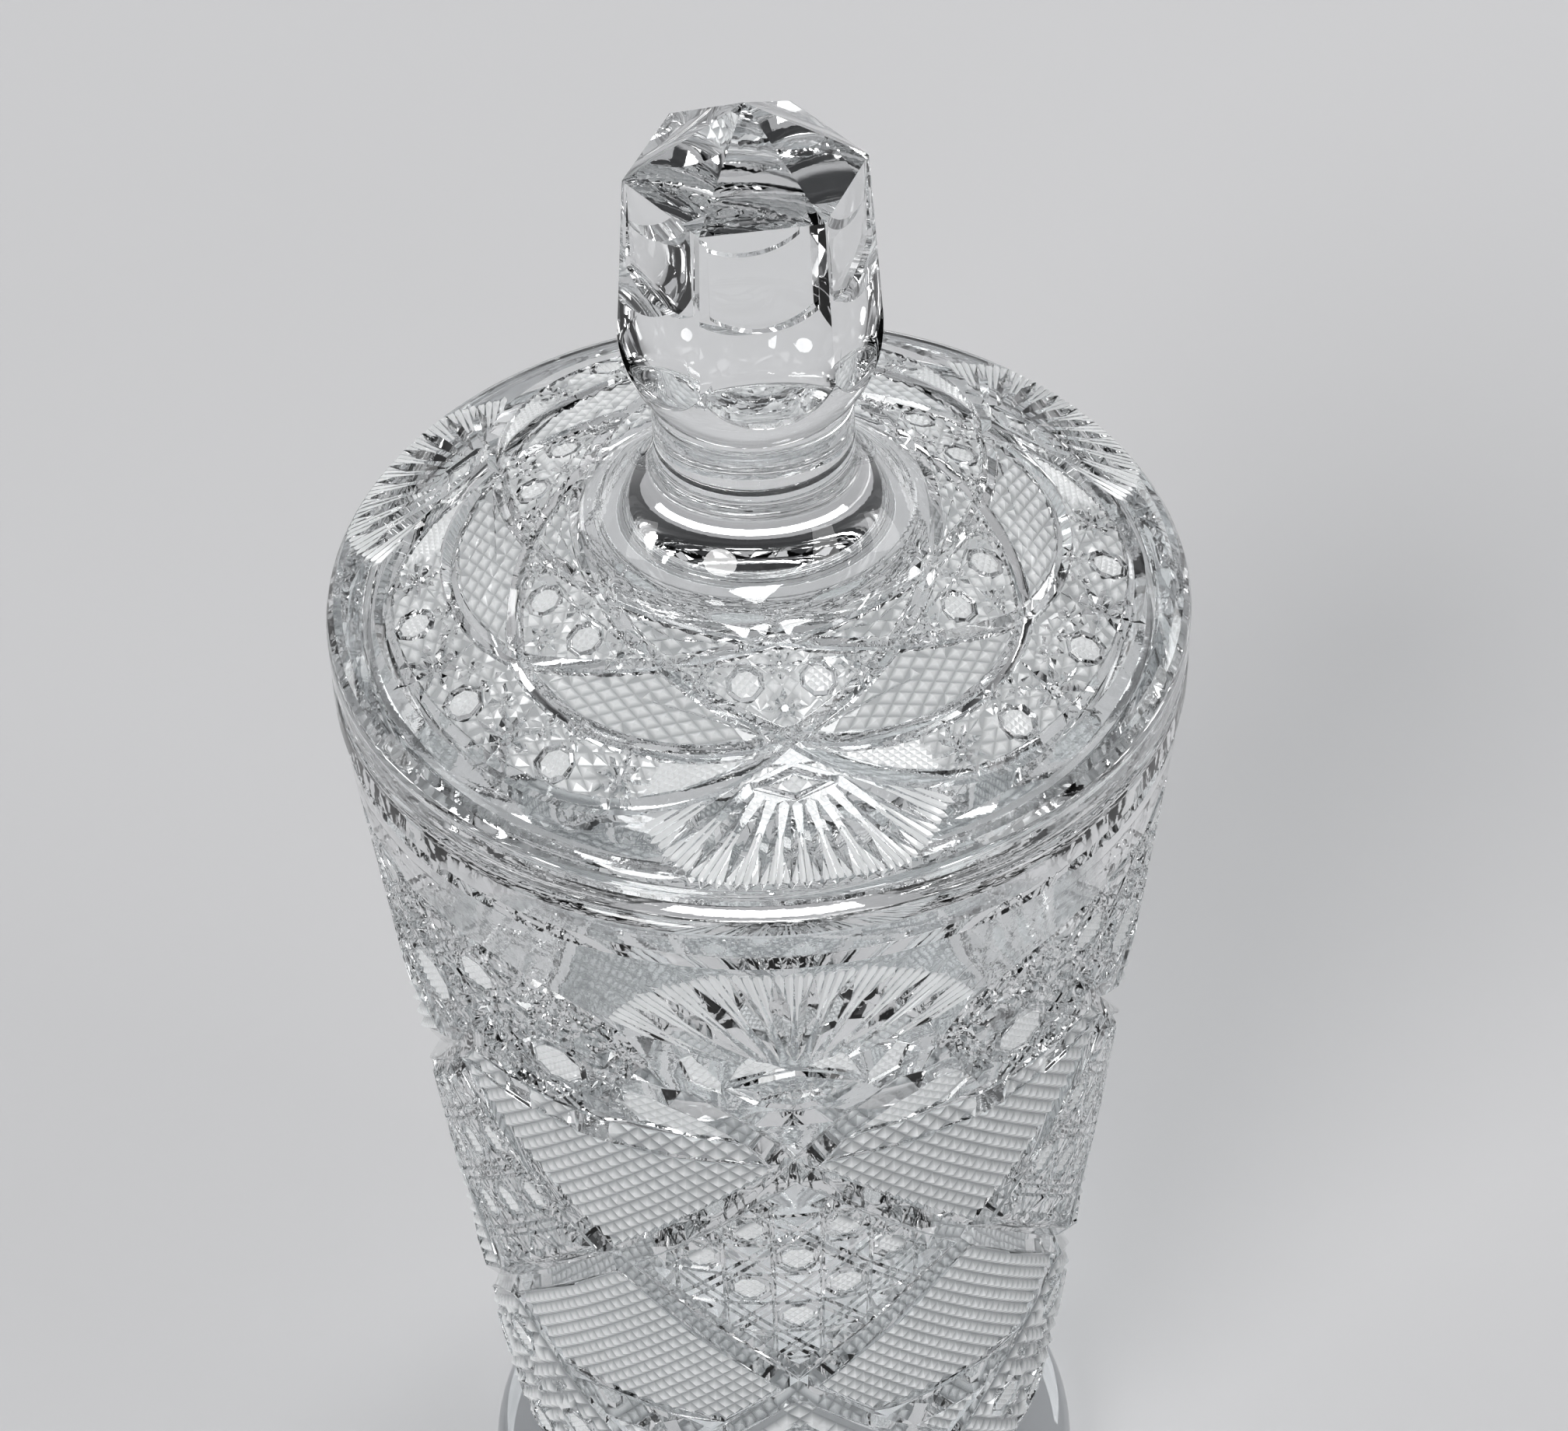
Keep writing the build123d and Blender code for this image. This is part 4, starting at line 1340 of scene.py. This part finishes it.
def crystal_material(name, polish, haze, ripple_scale, ripple_height, matt=False):
    """Lead crystal, clear or matt, with its own polish, that lets the lamps' light through to the table."""
    finish = bpy.context.scene.potiche_finish
    tint, streak, clear = finish.tint, finish.edge_tint, 1.0
    if matt:
        tint, streak, clear = finish.matt_tint, finish.matt_streak, 1 - finish.matt_share
    material, tree, output = new_material(name)
    values = {"Clear": (*tint, 1), "Streak": (*streak, 1), "Polish": polish, "Haze": haze}
    values["Ripple Scale"] = ripple_scale
    surface = new_node(tree, "ShaderNodeGroup", node_tree=polish_group(), **values)
    bump = new_node(tree, "ShaderNodeBump", Strength=RIPPLE_STRENGTH, Distance=ripple_height)
    glass = new_node(tree, "ShaderNodeBsdfPrincipled", IOR=CRYSTAL_IOR, **{"Transmission Weight": clear})
    lamp = new_node(tree, "ShaderNodeLightPath")
    through = new_node(tree, "ShaderNodeBsdfTransparent", Color=(*finish.shadow, 1))
    either = new_node(tree, "ShaderNodeMixShader")
    shown = (surface, "Colour")
    # Painted shade: the matt glass darkens with the depth of its cut, most deeply between the small pyramids
    if matt:
        cut = new_node(tree, "ShaderNodeAttribute", attribute_name="cut_depth")
        deep = new_node(tree, "ShaderNodeMapRange", **PAINTED_SHADE_DEPTHS)
        shaded = new_node(tree, "ShaderNodeMix", data_type="RGBA", B=(*finish.valley_painted_shade, 1))
        wire(tree, (cut, "Fac", deep, "Value"), (deep, "Result", shaded, "Factor"), (*shown, shaded, "A"))
        shown = (shaded, "Result")
    wire(
        tree,
        (*shown, glass, "Base Color"),
        (surface, "Roughness", glass, "Roughness"),
        (surface, "Ripple", bump, "Height"),
        (bump, "Normal", glass, "Normal"),
        (lamp, "Is Shadow Ray", either, "Fac"),
        (glass, "BSDF", either, 1),
        (through, "BSDF", either, 2),
        (either, "Shader", output, "Surface"),
    )
    return material


def joint_material():
    """Where two gathers of glass are fused, nothing shows between them."""
    name = "Fused joint"
    if name in bpy.data.materials:
        return bpy.data.materials[name]
    material, tree, output = new_material(name)
    wire(tree, (new_node(tree, "ShaderNodeBsdfTransparent"), "BSDF", output, "Surface"))
    return material


# Operators, one for each piece and one for the stage


def place_piece(piece, node, body):
    """Sets a finished piece in the place of its plain solid."""
    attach(piece, body)
    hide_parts(node)


class MakeJar(bpy.types.Operator):
    """Make the cut jar"""

    bl_idname = "potiche.make_jar"
    bl_label = "Jar"

    def execute(self, context):
        scene = context.scene
        half = build_jar(in_millimetres(scene.potiche_jar), in_millimetres(scene.potiche_cuts))
        crystal = crystal_material("Cut crystal", **WHEEL_POLISH)
        matt = crystal_material("Hobnail crystal", **MATT_POLISH)
        piece = whole_glass("cut_jar", half, scene.potiche_finish.jar_turn, crystal, matt, CUT_ANGLE)
        place_piece(piece, "jar_body", "jar")
        return {"FINISHED"}


class MakeFoot(bpy.types.Operator):
    """Make the plain foot"""

    bl_idname = "potiche.make_foot"
    bl_label = "Foot"

    def execute(self, context):
        half = build_foot(in_millimetres(context.scene.potiche_foot))
        crystal = crystal_material("Plain crystal", **FOOT_POLISH)
        piece = whole_glass("plain_foot", half, 0.0, crystal, crystal, PLAIN_ANGLE)
        place_piece(piece, "foot", "jar")
        return {"FINISHED"}


class MakeLid(bpy.types.Operator):
    """Make the cut lid"""

    bl_idname = "potiche.make_lid"
    bl_label = "Lid"

    def execute(self, context):
        scene = context.scene
        half = build_lid(in_millimetres(scene.potiche_lid), in_millimetres(scene.potiche_cuts))
        crystal = crystal_material("Lid crystal", **WHEEL_POLISH)
        matt = crystal_material("Lid hobnail crystal", **MATT_POLISH)
        piece = whole_glass("cut_lid", half, scene.potiche_finish.lid_turn, crystal, matt, CUT_ANGLE)
        place_piece(piece, "lid", "cover")
        return {"FINISHED"}


class MakeFinial(bpy.types.Operator):
    """Make the faceted finial"""

    bl_idname = "potiche.make_finial"
    bl_label = "Finial"

    def execute(self, context):
        shape = bmesh.new()
        shape.from_mesh(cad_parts["finial"].data)
        bmesh.ops.remove_doubles(shape, verts=shape.verts, dist=WELD)
        turn = Matrix.Rotation(context.scene.potiche_finish.finial_turn, 4, "Z")
        bmesh.ops.transform(shape, matrix=turn, verts=shape.verts)
        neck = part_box("finial")[0].z
        for face in shape.faces:
            face.material_index = int(face.normal.z < DOWNWARD and face.calc_center_median().z < neck + WELD)
        mesh = bpy.data.meshes.new("finial")
        shape.to_mesh(mesh)
        shape.free()
        mesh.materials.append(crystal_material("Finial crystal", **FINIAL_POLISH))
        mesh.materials.append(joint_material())
        piece = finish_glass("faceted_finial", mesh, FACET_ANGLE)
        sharpen_flats(mesh)
        place_piece(piece, "finial", "cover")
        return {"FINISHED"}


class MakeStage(bpy.types.Operator):
    """Make the table, the light and the view"""

    bl_idname = "potiche.make_stage"
    bl_label = "Stage"

    def execute(self, context):
        stage = context.scene.potiche_stage
        make_floor(stage)
        make_light(stage)
        make_camera(stage)
        context.scene.view_settings.view_transform = "Standard"
        return {"FINISHED"}


# The stage, in metres

FLOOR_REACH = 6.0
FLOOR_ROUND = 1.2
FLOOR_GRAIN = 0.97
LAMP_AIM = Vector((0, 0, 0.2))
# Place, spread in degrees and strength of each sun
SUNS = {"key": ((-1.0, -1.3, 1.35), 24.0, 1.6), "top": ((0.2, 0.3, 2.2), 16.0, 0.8)}
# Place, width, height and power of each soft box
SOFT_BOXES = {
    "fill": ((1.3, -0.9, 1.0), 0.6, 0.9, 5.0),
    "rim": ((0.2, 1.7, 1.2), 1.6, 0.5, 6.0),
    "left": ((-1.4, 0.4, 0.9), 0.5, 0.8, 2.6),
    "right": ((1.4, 0.4, 0.9), 0.5, 0.8, 2.6),
}
# Heights in the sky between which the walls go over into the ceiling
WALL_TOP = {"From Min": 0.08, "From Max": 0.28}
# The lens that the photograph was solved with, and the photograph's width, both in pixels
LENS_PIXELS = 5000
PHOTO_WIDTH = 2016


def make_floor(stage):
    """A pale table that turns up far behind into a backdrop."""
    reach = FLOOR_REACH
    bend = rounded((reach, 0), FLOOR_ROUND, -90, 0, steps=24)
    profile = np.vstack([[(-reach, 0)], bend, [(reach, reach)]])
    points = [(side * reach, y, z) for y, z in profile for side in (-1, 1)]
    faces = [(first, first + 1, first + 3, first + 2) for first in range(0, len(points) - 2, 2)]
    mesh = bpy.data.meshes.new("table")
    mesh.from_pydata(points, [], faces)
    mesh.shade_smooth()
    material, tree, output = new_material("Pale table")
    paint = new_node(tree, "ShaderNodeBsdfPrincipled", Roughness=0.75)
    place = new_node(tree, "ShaderNodeTexCoord")
    grain = new_node(tree, "ShaderNodeTexNoise", Scale=5.0, Detail=4.0)
    light, dark = ((*(share * value for value in stage.floor_colour), 1) for share in (1, FLOOR_GRAIN))
    tone = new_node(tree, "ShaderNodeMix", data_type="RGBA", A=light, B=dark)
    wire(
        tree,
        (place, "Object", grain, "Vector"),
        (grain, "Fac", tone, "Factor"),
        (tone, "Result", paint, "Base Color"),
        (paint, "BSDF", output, "Surface"),
    )
    mesh.materials.append(material)
    table = bpy.data.objects.new("table", mesh)
    bpy.context.scene.collection.objects.link(table)


def add_lamp(name, kind, place, **settings):
    """A lamp in its place, turned to the jar."""
    lamp = bpy.data.lights.new(name, kind)
    for setting, value in settings.items():
        setattr(lamp, setting, value)
    light = bpy.data.objects.new(name, lamp)
    light.location = place
    light.rotation_euler = (LAMP_AIM - Vector(place)).to_track_quat("-Z", "Y").to_euler()
    bpy.context.scene.collection.objects.link(light)


def make_light(stage):
    """Two broad suns, soft boxes to both sides and behind, and a room with pale walls and a dim ceiling."""
    for name, (place, spread, strength) in SUNS.items():
        add_lamp(name, "SUN", place, angle=radians(spread), energy=strength)
    for name, (place, wide, high, power) in SOFT_BOXES.items():
        add_lamp(name, "AREA", place, shape="RECTANGLE", size=wide, size_y=high, energy=power)
    world = bpy.data.worlds.new("Room")
    world.use_nodes = True
    tree = world.node_tree
    direction = new_node(tree, "ShaderNodeTexCoord")
    height = new_node(tree, "ShaderNodeSeparateXYZ")
    upward = new_node(tree, "ShaderNodeMapRange", interpolation_type="SMOOTHSTEP", **WALL_TOP)
    low, high = (*stage.wall_colour, 1), (*stage.ceiling_colour, 1)
    room = new_node(tree, "ShaderNodeMix", data_type="RGBA", A=low, B=high)
    wire(
        tree,
        (direction, "Generated", height, "Vector"),
        (height, "Z", upward, "Value"),
        (upward, "Result", room, "Factor"),
        (room, "Result", tree.nodes["Background"], "Color"),
    )
    bpy.context.scene.world = world


def make_camera(stage):
    """The view of the photograph, from its distance, height, aim and lean."""
    rise, distance = stage.view_rise, stage.view_distance
    place = Vector((0, -distance * cos(rise), distance * sin(rise) + stage.aim_level))
    ahead = Vector((0, cos(rise), -sin(rise)))
    right = Vector((1, 0, 0))
    up = right.cross(ahead)
    yaw = Matrix.Rotation(stage.view_yaw, 3, up)
    ahead, right = yaw @ ahead, yaw @ right
    tilt = Matrix.Rotation(stage.view_tilt, 3, right)
    ahead, up = tilt @ ahead, tilt @ up
    roll = Matrix.Rotation(stage.view_roll, 3, ahead)
    right, up = roll @ right, roll @ up
    basis = Matrix((right, up, -ahead)).transposed().to_4x4()
    lens = bpy.data.cameras.new("view")
    lens.sensor_fit = "HORIZONTAL"
    lens.sensor_width = 36.0
    lens.lens = LENS_PIXELS / PHOTO_WIDTH * lens.sensor_width
    lens.clip_start = 0.01
    camera = bpy.data.objects.new("view", lens)
    camera.matrix_world = Matrix.Rotation(stage.view_turn, 4, "Z") @ Matrix.Translation(place) @ basis
    bpy.context.scene.collection.objects.link(camera)
    bpy.context.scene.camera = camera


class PotichePanel(bpy.types.Panel):
    """Sidebar panel with the potiche's pieces and sizes"""

    bl_idname = "VIEW3D_PT_potiche"
    bl_label = "Potiche"
    bl_space_type = "VIEW_3D"
    bl_region_type = "UI"
    bl_category = "Potiche"

    def draw(self, context):
        for operator in OPERATORS:
            self.layout.operator(operator.bl_idname)
        for name in GROUPS:
            box = self.layout.box()
            group = getattr(context.scene, name)
            for prop in group.__annotations__:
                box.prop(group, prop)


GROUPS = {
    "potiche_jar": JarSizes,
    "potiche_lid": LidSizes,
    "potiche_foot": FootSizes,
    "potiche_cuts": CutSizes,
    "potiche_finish": GlassFinish,
    "potiche_stage": StageSettings,
}
OPERATORS = (MakeJar, MakeFoot, MakeLid, MakeFinial, MakeStage)


def register():
    for kind in (*GROUPS.values(), *OPERATORS, PotichePanel):
        bpy.utils.register_class(kind)
    for name, group in GROUPS.items():
        setattr(bpy.types.Scene, name, bpy.props.PointerProperty(type=group))


def unregister():
    for name in GROUPS:
        delattr(bpy.types.Scene, name)
    for kind in (PotichePanel, *OPERATORS[::-1], *list(GROUPS.values())[::-1]):
        bpy.utils.unregister_class(kind)


def main():
    register()
    bpy.ops.potiche.make_jar()
    bpy.ops.potiche.make_foot()
    bpy.ops.potiche.make_lid()
    bpy.ops.potiche.make_finial()
    bpy.ops.potiche.make_stage()


if __name__ == "__main__":
    main()
